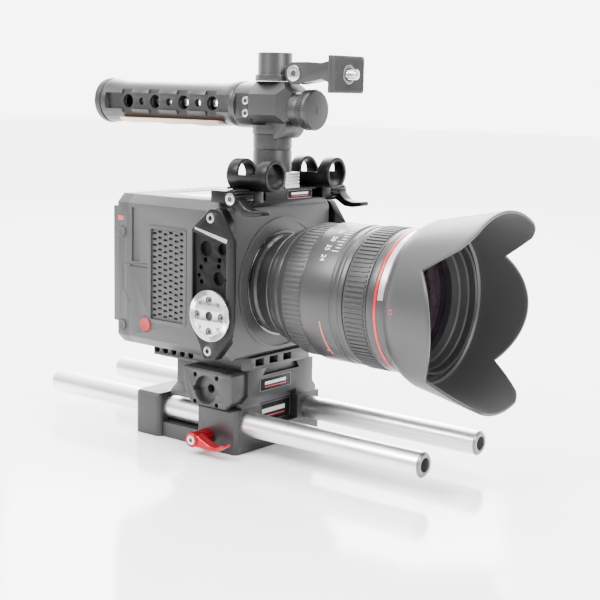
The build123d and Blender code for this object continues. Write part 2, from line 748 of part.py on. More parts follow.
@sub_part
def cage_plate_right():
    """Right cage plate with a milled pocket and accessory holes."""
    plate = prism_y(PLATE_OUTLINE, -PLATE_OUTER, -PLATE_INNER)
    plate = chamfer(plate.faces().sort_by(Axis.Y)[0].edges(), 0.7)
    plate -= prism_y(POCKET_OUTLINE, -PLATE_OUTER - 1, -PLATE_OUTER + PLATE_POCKET)
    for x, z, radius in PLATE_HOLES:
        plate -= rod_y(radius, -PLATE_OUTER - 1, -PLATE_OUTER + 4.5, x, z)
    plate += rod_y(ROSETTE_R, -PLATE_OUTER, -PLATE_OUTER + PLATE_POCKET, ROSETTE_X, ROSETTE_Z)
    edge = -PLATE_OUTER + PLATE_EDGE
    plate -= prism_z([(47.0, -48.0), (47.0, -49.0), (50.5, edge), (60.0, edge), (60.0, -48.0)], 50.0, 160.0)
    plate -= rod_y(M6_R, -PLATE_OUTER - 1, -PLATE_INNER + 1, ROSETTE_X, ROSETTE_Z)
    for x, z in rosette_screw_places():
        plate -= rod_y(SCREW_SHANK_R, -PLATE_OUTER - 1, -PLATE_INNER - 1.5, x, z)
    for x, z in (PLATE_SCREW_TOP, PLATE_SCREW_BOTTOM):
        plate -= rod_y(SCREW_SHANK_R, -PLATE_OUTER - 1, -PLATE_INNER + 1, x, z)
        plate -= rod_y(SCREW_HEAD_R, -PLATE_OUTER - 1, -PLATE_OUTER + 2.2, x, z)
    return plate


@sub_part
def cage_plate_left():
    return mirrored(cage_plate_right())


def rosette_screw_places():
    radius = ROSETTE_HOLE_RADIUS
    return [(ROSETTE_X + radius * math.cos(math.pi * i / 2), ROSETTE_Z + radius * math.sin(math.pi * i / 2))
            for i in range(4)]


@sub_part
def rosette_right():
    """Toothed locking disc: a raised annulus around a flat centre."""
    disc = rod_y(ROSETTE_R, -ROSETTE_FACE, -PLATE_OUTER, ROSETTE_X, ROSETTE_Z)
    disc = chamfer(disc.faces().sort_by(Axis.Y)[0].edges(), 0.6)
    disc -= rod_y(12.4, -ROSETTE_FACE - 1, -ROSETTE_FACE + ROSETTE_RECESS, ROSETTE_X, ROSETTE_Z)
    disc -= rod_y(M6_R, -ROSETTE_FACE - 1, -PLATE_OUTER + 1, ROSETTE_X, ROSETTE_Z)
    for x, z in rosette_screw_places():
        disc -= rod_y(SCREW_SHANK_R, -ROSETTE_FACE - 1, -PLATE_OUTER + 1, x, z)
        disc -= rod_y(2.5, -ROSETTE_FACE - 1, -ROSETTE_FACE + ROSETTE_HEAD[1], x, z)
    return disc


@sub_part
def rosette_left():
    return mirrored(rosette_right())


@sub_part
def cage_screws():
    """Socket screws of the cage plates and of the rosettes."""
    screws = []
    for x, z in (PLATE_SCREW_TOP, PLATE_SCREW_BOTTOM):
        screw = rod_y(SCREW_HEAD_R, -PLATE_OUTER + 0.2, -PLATE_OUTER + 2.2, x, z)
        screw -= rod_y(1.5, -PLATE_OUTER, -PLATE_OUTER + 1.4, x, z)
        screws.append(screw + rod_y(SCREW_SHANK_R, -PLATE_OUTER + 2.2, -PLATE_INNER + 4, x, z))
    for x, z in rosette_screw_places():
        head0, head1 = (-ROSETTE_FACE + depth for depth in ROSETTE_HEAD)
        screw = rod_y(2.5, head0, head1, x, z)
        screw -= rod_y(1.2, head0 - 1, head1 - 0.4, x, z)
        screws.append(screw + rod_y(SCREW_SHANK_R, head1, -PLATE_INNER - 1.5, x, z))
    return Compound(children=screws + [mirrored(screw) for screw in screws])


# Top bar and its rod clamps


def bar_screw_places():
    return [(38.0, -16.0), (38.0, 16.0), (20.0, -12.0), (20.0, 12.0)]


@sub_part
def top_bar():
    """T-shaped bar across the top of the body, with narrow lugs at both ends."""
    x0, x1 = BAR_X
    outline_points = [
        (x0, -BAR_HALF), (40.0, -BAR_HALF), (40.0, -LUG_HALF), (LUG_FRONT, -LUG_HALF),
        (LUG_FRONT, -29.0), (x1, -29.0), (x1, 29.0), (LUG_FRONT, 29.0), (LUG_FRONT, LUG_HALF),
        (40.0, LUG_HALF), (40.0, BAR_HALF), (x0, BAR_HALF), (x0, 20.0),
        (BAR_MIDDLE_REAR, 20.0), (BAR_MIDDLE_REAR, -20.0), (x0, -20.0),
    ]
    bar = prism_z(outline_points, *BAR_Z)
    bar += block(BODY_FRONT + 0.4, x1, -LUG_HALF, LUG_HALF, BAR_Z[0] - 3.2, BAR_Z[0])
    for x, y in bar_screw_places():
        bar -= rod_z(SCREW_SHANK_R, BAR_Z[0] - 1, BAR_Z[1] + 1, x, y)
        bar -= rod_z(2.8, BAR_Z[1] - 2.6, BAR_Z[1] + 1, x, y)
    for side in (-1, 1):
        bar -= rod_y(LEVER_SHANK_R, side * 30 - 8, side * 30 + 8, LEVER_X, LEVER_Z)
    return bar


def top_clamp(side):
    """Rod clamp: a tube whose upper half is cut away between two end rings."""
    x0, x1 = CLAMP_X
    y = side * ROD_Y
    clamp = rod_x(CLAMP_OUTER_R, x0, x1, y, CLAMP_Z)
    clamp += block(x0 + 2, BAR_X[1] - 2, y - 6, y + 6, BAR_Z[1], CLAMP_Z)
    clamp -= rod_x(ROD_R + GAP, x0 - 1, x1 + 1, y, CLAMP_Z)
    opening = [(x0 + CLAMP_RING + 1.6, CLAMP_Z + 0.5), (x1 - CLAMP_RING - 1.6, CLAMP_Z + 0.5),
               (x1 - CLAMP_RING, CLAMP_Z + 12), (x0 + CLAMP_RING, CLAMP_Z + 12)]
    clamp -= prism_y(opening, y - 12, y + 12)
    clamp -= rod_x(ROD_R + CLAMP_RELIEF, x0 + CLAMP_RING, x1 - CLAMP_RING, y, CLAMP_Z)
    clamp -= block(x0 - 1, x1 + 1, y - 12, y + 12, BAR_Z[1] - 4, BAR_Z[1])
    return clamp


@sub_part
def top_clamp_right():
    return top_clamp(-1)


@sub_part
def top_clamp_left():
    return top_clamp(1)


@sub_part
def ribbed_block():
    """Grooved aluminium stop in front of the handle stem."""
    stop = block(38.0, 48.0, -3.0, 10.4, BAR_Z[1], BAR_Z[1] + 9.6)
    for index in range(4):
        z = BAR_Z[1] + 1.8 + index * 2.0
        stop -= block(47.4, 49.0, -4, 11, z, z + 0.8)
    return stop - rod_z(STEM_R, BAR_Z[1] - 1, BAR_Z[1] + 12, STEM_X, 0)


# Top handle


@sub_part
def handle_stem():
    """Round column from the bar to the handle, with a step above its seam."""
    stem = rod_z(STEM_R, BAR_Z[1], STEM_TOP, STEM_X, 0)
    groove = rod_z(STEM_R + 1, 185.0, 185.6, STEM_X, 0) - rod_z(STEM_R - 0.5, 184, 187, STEM_X, 0)
    return stem - groove


def octagon(half_width, half_height, cut, z):
    return [
        (-half_width + cut, z - half_height), (half_width - cut, z - half_height),
        (half_width, z - half_height + cut), (half_width, z + half_height - cut),
        (half_width - cut, z + half_height), (-half_width + cut, z + half_height),
        (-half_width, z + half_height - cut), (-half_width, z - half_height + cut),
    ]


@sub_part
def handle_block():
    """Eight-sided head of the handle: round collar, rounded chin and the socket of the knob."""
    x0, x1, x2 = HEAD_X
    half_y, half_z = HEAD_HALF
    low, high, slope = HEAD_Z - half_z, HEAD_Z + half_z, x2 - x1
    head = prism_x(octagon(half_y, half_z, HEAD_CUT, HEAD_Z), x0, x2)
    side = [(x0, low), (x1, low), (x2, low + slope), (x2, high - slope), (x1, high), (x0, high)]
    head &= prism_y(side, -20, 20)
    head &= prism_z([(x0, -half_y), (x1, -half_y), (x2, slope - half_y), (x2, half_y - slope),
                     (x1, half_y), (x0, half_y)], low - 1, high + 1)
    head += rod_x(COLLAR_R, *COLLAR_X, 0, COLLAR_Z)
    head += rod_x(BOSS_NOSE_R, x2 - 1, BOSS_NOSE_X, 0, KNOB_Z)
    head += rod_y(CHIN_R, -9.0, 9.0, CHIN_X, CHIN_Z)
    head += rod_z(STEM_R + 0.6, STEM_TOP, CHIN_Z, STEM_X, 0)
    head -= rod_z(STEM_R, STEM_TOP - 8, STEM_TOP, STEM_X, 0)
    head -= rod_x(KNOB_SHAFT_R + GAP, 42.0, BOSS_NOSE_X + 1, 0, KNOB_Z)
    for side in (-1, 1):
        y0, y1 = sorted((side * 12.4, side * 16.0))
        head -= block(COLLAR_X[0] + 2, COLLAR_X[1], y0, y1, COLLAR_Z - 7, COLLAR_Z + 8)
        for z in HEAD_SCREW_Z:
            head -= rod_y(2.6, side * 14.0 - 2.2, side * 14.0 + 2.2, HEAD_SCREW_X, z)
    return head


@sub_part
def top_screws():
    """Flush screws of the top bar and the bright screws in the flanks of the handle head."""
    screws = []
    for x, y in bar_screw_places():
        screw = rod_z(2.8, BAR_Z[1] - 2.6, BAR_Z[1] - 0.2, x, y)
        screws.append(screw + rod_z(SCREW_SHANK_R, BODY_TOP - WALL, BAR_Z[1] - 2.6, x, y))
    for z in HEAD_SCREW_Z:
        for side in (-1, 1):
            screws.append(rod_y(2.6, side * 12.8 - 1.0, side * 12.8 + 1.0, HEAD_SCREW_X, z))
    return Compound(children=screws)


@sub_part
def handle_tube():
    """Handle: a tube that widens to the rear, with notched pockets and cross holes in both flanks."""
    z = HANDLE_Z
    front = COLLAR_X[0]
    tube = turned([
        (front, TUBE_INNER_R), (front, COLLAR_R), (8.0, COLLAR_R), (0.0, TUBE_OUTER_R),
        (TUBE_REAR, TUBE_OUTER_R), (TUBE_REAR - 13, FLANGE_R - 0.5), (FLANGE_X[1], FLANGE_R - 0.3),
        (FLANGE_X[1], TUBE_INNER_R),
    ], z)
    for side in (-1, 1):
        y0, y1 = sorted((side * 9.8, side * 20.0))
        tube -= block(*POCKET_X, y0, y1, z - POCKET_HALF, z + POCKET_HALF)
        for x in NOTCH_X:
            tube -= block(x - NOTCH_HALF[0], x + NOTCH_HALF[0], y0, y1, z - NOTCH_HALF[1], z + NOTCH_HALF[1])
    for x in NOTCH_X:
        tube -= rod_y(NOTCH_HOLE_R, -12, 12, x, z)
    for x in NOTCH_X[:-1]:
        tube -= rod_y(SMALL_HOLE_R, -12, 12, x + 12.6, z)
    return tube - block(*GRIP_X, -13, 13, z - 14, GRIP_TOP)


@sub_part
def handle_end_cap():
    """Domed cap with a rolled rim that closes the rear of the handle."""
    x0, x1 = FLANGE_X
    return turned([
        (x1, 0.0), (x1, FLANGE_R - 1.4), (x1 - 1.0, FLANGE_R - 1.4), (x1 - 1.6, FLANGE_R),
        (x0 + 1.4, FLANGE_R), (x0, FLANGE_R - 1.6), (x0, 11.0), (x0 + 1.4, 10.2), (x0 + 1.4, 0.0),
    ], HANDLE_Z)


@sub_part
def wood_grip():
    """Wooden palm rest with shallow finger swells under the handle."""
    x0, x1 = GRIP_X
    z = GRIP_TOP
    swell = Spline((x0, z - 2.2), (-76.0, z - 3.5), (-61.0, z - 2.6), (-45.0, z - 3.7), (-30.0, z - 2.8),
                   (-14.0, z - 3.8), (x1, z - 2.2))
    edge = swell + Polyline([(x1, z - 2.2), (x1, z), (x0, z), (x0, z - 2.2)])
    grip = extrude(Plane.XZ.offset(-12) * make_face(edge), amount=24, dir=(0, -1, 0))
    return grip & rod_x(TUBE_OUTER_R + 2.6, x0 - 1, x1 + 1, 0, HANDLE_Z - 1.0)


@sub_part
def swivel_post():
    """Round accessory post that turns on the handle head, with the tongue of the arm hinge."""
    z0, z1, z2 = POST_Z
    post = rod_z(POST_COLLAR_R, z0, z1, POST_X, 0)
    post += rod_z(POST_R, z1, z2, POST_X, 0)
    post -= rod_z(POST_R - 2.2, z2 - 1.2, z2 + 1, POST_X, 0)
    tongue = [
        (40.0, z0 + 0.3), (ARM_X + 2.5, z0 + 0.3), (ARM_X + 4.6, ARM_Z - 3), (ARM_X + 4.6, ARM_Z + 3),
        (ARM_X + 2.0, ARM_Z + 4.6), (40.0, ARM_Z + 4.6),
    ]
    post += prism_y(tongue, -2.4, 2.4)
    return post - rod_y(ARM_PIN_R, -3, 3, ARM_X, ARM_Z)


@sub_part
def monitor_arm():
    """Forked arm that tilts on the post and carries the square pad."""
    profile = [
        (ARM_X, ARM_Z + 6.6), (66.0, 238.3), (76.0, 237.7), (84.0, 239.5), (PAD_X[0], PAD_Z[1] - 0.5),
        (PAD_X[0], PAD_Z[0] + 1.0), (84.0, 225.5), (76.0, 228.5), (66.0, 226.6), (ARM_X, ARM_Z - 6.6),
    ]
    arm = prism_y(profile, -ARM_HALF, ARM_HALF)
    arm += rod_y(ARM_HUB_R, -ARM_HALF, ARM_HALF, ARM_X, ARM_Z)
    arm += block(PAD_X[0], PAD_X[1] - 2, -PAD_HALF, PAD_HALF, *PAD_Z)
    arm -= block(ARM_X - 12, 64.5, -2.5, 2.5, ARM_Z - 12, ARM_Z + 12)
    arm -= rod_y(ARM_PIN_R + GAP, -ARM_HALF - 1, ARM_HALF + 1, ARM_X, ARM_Z)
    arm -= rod_y(ARM_PIN_HEAD_R + GAP, -ARM_HALF - 1, -ARM_HALF + 1.4, ARM_X, ARM_Z)
    return arm - rod_x(STUD_SHANK_R + GAP, STUD_REAR - 0.5, PAD_X[1] + 1, 0, PAD_CENTRE_Z)


@sub_part
def arm_pin():
    """Pivot pin of the arm with its broad bright head."""
    pin = rod_y(ARM_PIN_R, -ARM_HALF + 1.3, ARM_HALF, ARM_X, ARM_Z)
    head = rod_y(ARM_PIN_HEAD_R, -ARM_HALF - 0.4, -ARM_HALF + 1.3, ARM_X, ARM_Z)
    slot = block(ARM_X - 3, ARM_X + 3, -ARM_HALF - 1, -ARM_HALF + 0.4, ARM_Z - 0.6, ARM_Z + 0.6)
    return pin + head - slot


@sub_part
def arm_pad():
    """Rubber face of the square pad."""
    pad = block(PAD_X[1] - 2, PAD_X[1], -PAD_HALF, PAD_HALF, *PAD_Z)
    pad = fillet(pad.edges().filter_by(Axis.X), 2.0)
    return pad - rod_x(STUD_R + 0.6, PAD_X[1] - 3, PAD_X[1] + 1, 0, PAD_CENTRE_Z)


@sub_part
def pad_stud():
    """Screw stud through the pad."""
    stud = rod_x(STUD_R, STUD_SHOULDER, STUD_TIP, 0, PAD_CENTRE_Z)
    stud = chamfer(stud.faces().sort_by(Axis.X)[-1].edges(), 0.6)
    return stud + rod_x(STUD_SHANK_R, STUD_REAR, STUD_SHOULDER, 0, PAD_CENTRE_Z)


@sub_part
def front_knob():
    """Knurled locking knob at the front of the handle head."""
    knob = rod_x(KNOB_R, *KNOB_X, 0, KNOB_Z)
    knob = chamfer(knob.edges().filter_by(GeomType.CIRCLE), 0.8)
    return knob + rod_x(KNOB_SHAFT_R, 44.0, KNOB_X[0] + 1, 0, KNOB_Z)


def main():
    os.makedirs("parts", exist_ok=True)
    for name, builder in PARTS.items():
        export_step(builder(), f"parts/{name}.step")
    print(len(PARTS), "sub-parts")


main()
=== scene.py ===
import json
import math

import bmesh
import bpy
from mathutils import Matrix, Vector

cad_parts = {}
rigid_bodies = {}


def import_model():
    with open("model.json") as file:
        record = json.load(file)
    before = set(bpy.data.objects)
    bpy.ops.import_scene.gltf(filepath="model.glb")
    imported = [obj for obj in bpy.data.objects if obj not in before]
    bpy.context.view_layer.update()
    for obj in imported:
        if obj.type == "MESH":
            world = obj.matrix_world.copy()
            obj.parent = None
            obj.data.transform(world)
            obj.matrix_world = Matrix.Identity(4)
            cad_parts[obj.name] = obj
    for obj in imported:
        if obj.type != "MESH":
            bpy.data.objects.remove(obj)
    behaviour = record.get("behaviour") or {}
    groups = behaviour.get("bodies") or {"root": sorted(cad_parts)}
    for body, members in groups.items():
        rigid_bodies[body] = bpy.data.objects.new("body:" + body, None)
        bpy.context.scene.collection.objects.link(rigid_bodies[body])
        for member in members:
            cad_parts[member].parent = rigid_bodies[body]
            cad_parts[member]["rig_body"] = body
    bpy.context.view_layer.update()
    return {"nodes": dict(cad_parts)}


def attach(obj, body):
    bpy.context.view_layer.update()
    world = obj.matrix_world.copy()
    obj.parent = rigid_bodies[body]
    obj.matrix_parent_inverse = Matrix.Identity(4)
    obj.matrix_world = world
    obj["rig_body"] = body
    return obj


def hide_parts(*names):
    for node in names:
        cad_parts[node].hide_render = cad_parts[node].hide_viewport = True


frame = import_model()
nodes = frame["nodes"]

# Lengths are millimetres in the CAD's frame: X out of the lens, Y to the camera's left, Z up.
MM = 0.001
LENS_Z = 103.0  # lens axis
FRONT = 44.0  # front face of the body, from which stations along the lens count
ROD_ENDS = (-131, 173)
ROD_Y, ROD_Z, ROD_R = 30.0, 18.0, 7.5
ROSETTE = (35.4, 88.0)  # x, z of the toothed discs
ROSETTE_R = 15.6
SCREW_CIRCLE = 9.6
TOP_LEVER = (47.5, 158.2)  # x, z of the screw that the lever turns on
BASE_LEVER = (21.5, 9.2)
HANDLE_Z = 212.3
KNOB_Z = 210.0
ARM_PIN = (55.4, 231.6)
STUD_Z = 231.2
GRILLE = (-22.0, 6.0, 78.0, 135.0)  # window of the side grille: x0, x1, z0, z1

# The hood's outside, as (station, radius), and the four notches between its petals
HOOD = [(106.8, 43.4), (107.6, 44.6), (108.6, 45.6), (110.2, 46.7), (112.2, 47.7), (114.5, 48.6),
        (157.0, 57.0)]
HOOD_WALL = 1.8
HOOD_END = 158.5
NOTCH_S = 132.0
NOTCH_TOP, NOTCH_BOTTOM = 26.0, -36.0  # heights above the lens axis
SIDE_REACH = 11.4  # how far the side petals pass the notches


# Outlines and meshes


def soften(points, radius, steps=2, closed=True):
    """Rounds the corners of an outline, each with a short curve."""
    result = []
    count = len(points)
    for i, corner in enumerate(points):
        if not closed and i in (0, count - 1):
            result.append(tuple(corner))
            continue
        c = Vector(corner).to_2d()
        a, b = Vector(points[i - 1]).to_2d() - c, Vector(points[(i + 1) % count]).to_2d() - c
        if a.length < 1e-6 or b.length < 1e-6 or a.angle(b) > 2.9:
            result.append(tuple(c))
            continue
        size = min(radius, a.length * 0.45, b.length * 0.45)
        start, end = c + a.normalized() * size, c + b.normalized() * size
        for s in range(steps + 1):
            t = s / steps
            result.append(tuple(start * (1 - t) ** 2 + c * 2 * t * (1 - t) + end * t * t))
    return result


def circle(x, y, radius, count=40):
    return [(x + radius * math.cos(2 * math.pi * i / count),
             y + radius * math.sin(2 * math.pi * i / count))
            for i in range(count)]


def box_outline(x0, x1, y0, y1, radius=0.0, steps=3):
    points = [(x0, y0), (x1, y0), (x1, y1), (x0, y1)]
    return soften(points, radius, steps) if radius else points


def grown(box, by):
    """The box (x0, x1, y0, y1) with each side moved outwards."""
    x0, x1, y0, y1 = box
    return x0 - by, x1 + by, y0 - by, y1 + by


def to_axis(axis, u, v, w):
    """(u, v) in the outline's plane and w along the axis, as x, y, z."""
    return {"X": (w, u, v), "Y": (u, w, v), "Z": (u, v, w)}[axis]


def finish_mesh(name, bm, mat, body, replaces=(), angle=32.0, weld=True):
    if weld:
        bmesh.ops.remove_doubles(bm, verts=bm.verts, dist=1e-6)
        bmesh.ops.dissolve_degenerate(bm, edges=bm.edges, dist=1e-7)
    bmesh.ops.recalc_face_normals(bm, faces=bm.faces)
    mesh = bpy.data.meshes.new(name)
    bm.to_mesh(mesh)
    bm.free()
    obj = bpy.data.objects.new(name, mesh)
    bpy.context.scene.collection.objects.link(obj)
    for polygon in mesh.polygons:
        polygon.use_smooth = True
    mesh.set_sharp_from_angle(angle=math.radians(angle))
    dress(obj, mat, body, replaces)
    return obj


def dress(obj, mat, body, replaces=()):
    mats = mat if isinstance(mat, (list, tuple)) else [mat]
    obj.data.materials.clear()
    for m in mats:
        obj.data.materials.append(m)
    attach(obj, body)
    if replaces:
        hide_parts(*([replaces] if isinstance(replaces, str) else replaces))


def bake_modifiers(obj):
    graph = bpy.context.evaluated_depsgraph_get()
    mesh = bpy.data.meshes.new_from_object(obj.evaluated_get(graph))
    obj.modifiers.clear()
    old = obj.data
    obj.data = mesh
    bpy.data.meshes.remove(old)
    return mesh


def lathe(name, profile, mat, body, replaces=(), axis="X", centre=(0.0, LENS_Z), segs=160, closed=True,
          radius=0.25, steps=2, angle=32.0):
    """Turned piece: profile is (station along the axis, radius)."""
    points = soften(profile, radius, steps, closed) if radius else list(profile)
    bm = bmesh.new()
    rings = []
    for station, r in points:
        ring = []
        for i in range(segs if r > 1e-6 else 1):
            t = 2 * math.pi * i / segs
            u, v = centre[0] + r * math.cos(t), centre[1] + r * math.sin(t)
            ring.append(bm.verts.new(Vector(to_axis(axis, u, v, station)) * MM))
        rings.append(ring)
    pairs = list(zip(rings, rings[1:] + rings[:1])) if closed else list(zip(rings, rings[1:]))
    for a, b in pairs:
        if len(a) == 1 and len(b) == 1:
            continue
        for i in range(segs):
            j = (i + 1) % segs
            quad = [a[i % len(a)], a[j % len(a)], b[j % len(b)], b[i % len(b)]]
            quad = [v for k, v in enumerate(quad) if v not in quad[:k]]
            if len(quad) > 2:
                bm.faces.new(quad)
    return finish_mesh(name, bm, mat, body, replaces, angle)


def plate(name, outline, mat, body, axis, low, high, holes=(), bevel=0.3, replaces=(), slot=None,
          rings=1):
    """Flat piece with rounded edges, cut from an outline with holes."""
    curve = bpy.data.curves.new(name, "CURVE")
    curve.dimensions = "2D"
    curve.fill_mode = "BOTH"
    curve.extrude = ((high - low) / 2 - bevel) * MM
    curve.bevel_depth = bevel * MM
    curve.bevel_resolution = rings
    curve.offset = -bevel * MM
    for points in [outline, *holes]:
        spline = curve.splines.new("POLY")
        spline.points.add(len(points) - 1)
        for point, (u, v) in zip(spline.points, points):
            point.co = (u * MM, v * MM, 0, 1)
        spline.use_cyclic_u = True
    holder = bpy.data.objects.new(name + "_curve", curve)
    bpy.context.scene.collection.objects.link(holder)
    graph = bpy.context.evaluated_depsgraph_get()
    flat = bpy.data.meshes.new_from_object(holder.evaluated_get(graph))
    bpy.data.objects.remove(holder)
    bpy.data.curves.remove(curve)
    middle = (low + high) / 2 * MM
    for vertex in flat.vertices:
        u, v, w = vertex.co
        vertex.co = to_axis(axis, u, v, w + middle)
    bm = bmesh.new()
    bm.from_mesh(flat)
    bpy.data.meshes.remove(flat)
    return finish_mesh(name, bm, mat, body, replaces)


def refine(node, mat, bevel=0.35, segments=2, angle=30.0):
    """The CAD node's own shape with its edges rounded as a machined or moulded part's are."""
    source = nodes[node]
    bm = bmesh.new()
    bm.from_mesh(source.data)
    bmesh.ops.remove_doubles(bm, verts=bm.verts, dist=2e-6)
    bmesh.ops.dissolve_limit(bm, angle_limit=math.radians(0.8), verts=bm.verts, edges=bm.edges)
    body = source["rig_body"]
    obj = finish_mesh(node + "_look", bm, mat, body, node, weld=False)
    modifier = obj.modifiers.new("edges", "BEVEL")
    modifier.width = bevel * MM
    modifier.segments = segments
    modifier.limit_method = "ANGLE"
    modifier.angle_limit = math.radians(angle)
    modifier.use_clamp_overlap = True
    mesh = bake_modifiers(obj)
    for polygon in mesh.polygons:
        polygon.use_smooth = True
    mesh.set_sharp_from_angle(angle=math.radians(35))
    return obj


def hex_points(u, v, radius, turn=0.0):
    return [(u + radius * math.cos(math.radians(60 * i + turn)),
             v + radius * math.sin(math.radians(60 * i + turn)))
            for i in range(6)]


def screw(name, axis, u, v, face, radius, height, out, body, mat=None, drive=0.5, turn=10.0):
    """Socket screw head: a chamfered disc with a six-sided recess and its floor. out is the way it faces."""
    mat = mat or M["steel"]
    low, high = sorted((face, face + out * height))
    recess = hex_points(u, v, radius * drive, turn)
    head = plate(name, circle(u, v, radius, 32), mat, body, axis, low, high, [recess],
                 min(0.3, height * 0.3))
    floor_low, floor_high = sorted((face, face + out * height * 0.35))
    plate(name + "_socket", hex_points(u, v, radius * drive + 0.15, turn), M["void"], body, axis,
          floor_low, floor_high, (), 0.02)
    return head


# Materials


BROAD_SCALE = 45.0  # slow changes of shade, about 20 mm across
FINE_SHARE = 0.35  # of the fine grain in the changes of shade


def surface(name, slot, colour, rough, metallic=0.0, grain=1500.0, depth=0.006, tint=0.12,
            rough_span=0.1, stretch=(1, 1, 1), coat=0.0, spec=0.5):
    """Colour and roughness that vary a little over the surface, with a fine grain in relief."""
    mat = bpy.data.materials.new(name)
    mat.use_nodes = True
    mat["slot"] = slot
    tree = mat.node_tree
    new, link = tree.nodes.new, tree.links.new
    shader = tree.nodes["Principled BSDF"]
    coords = new("ShaderNodeTexCoord")
    mapping = new("ShaderNodeMapping")
    mapping.inputs["Scale"].default_value = stretch
    link(coords.outputs["Object"], mapping.inputs["Vector"])
    fine = new("ShaderNodeTexNoise")
    fine.inputs["Scale"].default_value = grain
    fine.inputs["Detail"].default_value = 3.0
    link(mapping.outputs["Vector"], fine.inputs["Vector"])
    broad = new("ShaderNodeTexNoise")
    broad.inputs["Scale"].default_value = BROAD_SCALE
    broad.inputs["Detail"].default_value = 5.0
    link(coords.outputs["Object"], broad.inputs["Vector"])
    mix = new("ShaderNodeMix")
    mix.data_type = "RGBA"
    mix.inputs["A"].default_value = (*[c * (1 - tint) for c in colour], 1)
    mix.inputs["B"].default_value = (*[min(1.0, c * (1 + tint)) for c in colour], 1)
    blend = new("ShaderNodeMath")
    blend.operation = "MULTIPLY_ADD"
    blend.inputs[1].default_value = FINE_SHARE
    link(fine.outputs["Fac"], blend.inputs[0])
    rest = new("ShaderNodeMath")
    rest.operation = "MULTIPLY"
    rest.inputs[1].default_value = 1 - FINE_SHARE
    link(broad.outputs["Fac"], rest.inputs[0])
    link(rest.outputs[0], blend.inputs[2])
    link(blend.outputs[0], mix.inputs["Factor"])
    link(mix.outputs["Result"], shader.inputs["Base Color"])
    span = new("ShaderNodeMapRange")
    span.inputs["From Min"].default_value = 0.3
    span.inputs["From Max"].default_value = 0.7
    span.inputs["To Min"].default_value = max(0.04, rough - rough_span / 2)
    span.inputs["To Max"].default_value = min(1.0, rough + rough_span / 2)
    link(blend.outputs[0], span.inputs["Value"])
    link(span.outputs["Result"], shader.inputs["Roughness"])
    bump = new("ShaderNodeBump")
    bump.inputs["Strength"].default_value = 0.6
    bump.inputs["Distance"].default_value = depth * MM
    link(fine.outputs["Fac"], bump.inputs["Height"])
    link(bump.outputs["Normal"], shader.inputs["Normal"])
    shader.inputs["Metallic"].default_value = metallic
    shader.inputs["Specular IOR Level"].default_value = spec
    if coat:
        shader.inputs["Coat Weight"].default_value = coat
        shader.inputs["Coat Roughness"].default_value = 0.12
    return mat


def wood_surface():
    """Pale wood with its grain along the handle."""
    mat = surface("pale_wood", "wood", (0.72, 0.5, 0.36), 0.5, grain=900, depth=0.01, tint=0.1,
                  stretch=(0.12, 1, 1))
    tree = mat.node_tree
    new, link = tree.nodes.new, tree.links.new
    coords = next(n for n in tree.nodes if n.type == "TEX_COORD")
    rings = new("ShaderNodeTexWave")
    rings.wave_type = "RINGS"
    rings.rings_direction = "X"
    rings.inputs["Scale"].default_value = 90.0
    rings.inputs["Distortion"].default_value = 5.0
    rings.inputs["Detail"].default_value = 3.0
    stretch = new("ShaderNodeMapping")
    stretch.inputs["Location"].default_value = (0, 0.03, -0.15)
    stretch.inputs["Scale"].default_value = (0.15, 1, 1)
    link(coords.outputs["Object"], stretch.inputs["Vector"])
    link(stretch.outputs["Vector"], rings.inputs["Vector"])
    ramp = new("ShaderNodeValToRGB")
    ramp.color_ramp.elements[0].color = (0.42, 0.26, 0.18, 1)
    ramp.color_ramp.elements[1].color = (0.66, 0.50, 0.40, 1)
    ramp.color_ramp.elements[0].position = 0.1
    ramp.color_ramp.elements[1].position = 0.6
    link(rings.outputs["Fac"], ramp.inputs["Fac"])
    link(ramp.outputs["Color"], tree.nodes["Principled BSDF"].inputs["Base Color"])
    return mat


def glass_surface(name, slot, tint):
    """Coated glass: most light passes straight through, the rest meets a glossy dark coating."""
    mat = surface(name, slot, (0.02, 0.014, 0.02), 0.05, grain=60, depth=0.0, rough_span=0.04, coat=0.6)
    tree = mat.node_tree
    clear = tree.nodes.new("ShaderNodeBsdfTransparent")
    clear.inputs["Color"].default_value = (*tint, 1)
    mix = tree.nodes.new("ShaderNodeMixShader")
    mix.inputs["Fac"].default_value = 0.22
    tree.links.new(clear.outputs["BSDF"], mix.inputs[1])
    tree.links.new(tree.nodes["Principled BSDF"].outputs["BSDF"], mix.inputs[2])
    tree.links.new(mix.outputs["Shader"], tree.nodes["Material Output"].inputs["Surface"])
    return mat


def element_surface_painted_reflections():
    """Coated inner element: brown glass with beige and blue zones painted in as the coating's reflections.
    """
    mat = surface("element_painted_reflections", "glass", (0.05, 0.035, 0.035), 0.3, grain=200, depth=0.0, coat=0.4)
    tree = mat.node_tree
    new, link = tree.nodes.new, tree.links.new
    # Painted reflections: a noise pattern lays beige and blue zones on the brown glass.
    reflection_zones = new("ShaderNodeTexNoise")
    reflection_zones.inputs["Scale"].default_value = 28.0
    reflection_zones.inputs["Detail"].default_value = 1.0
    ramp = new("ShaderNodeValToRGB")
    stops = ramp.color_ramp.elements
    stops[0].position, stops[0].color = 0.3, (0.10, 0.055, 0.05, 1)
    stops[1].position, stops[1].color = 0.66, (0.10, 0.22, 0.55, 1)
    middle = stops.new(0.52)
    middle.color = (0.55, 0.42, 0.34, 1)
    coords = next(n for n in tree.nodes if n.type == "TEX_COORD")
    link(coords.outputs["Object"], reflection_zones.inputs["Vector"])
    link(reflection_zones.outputs["Fac"], ramp.inputs["Fac"])
    link(ramp.outputs["Color"], tree.nodes["Principled BSDF"].inputs["Base Color"])
    return mat


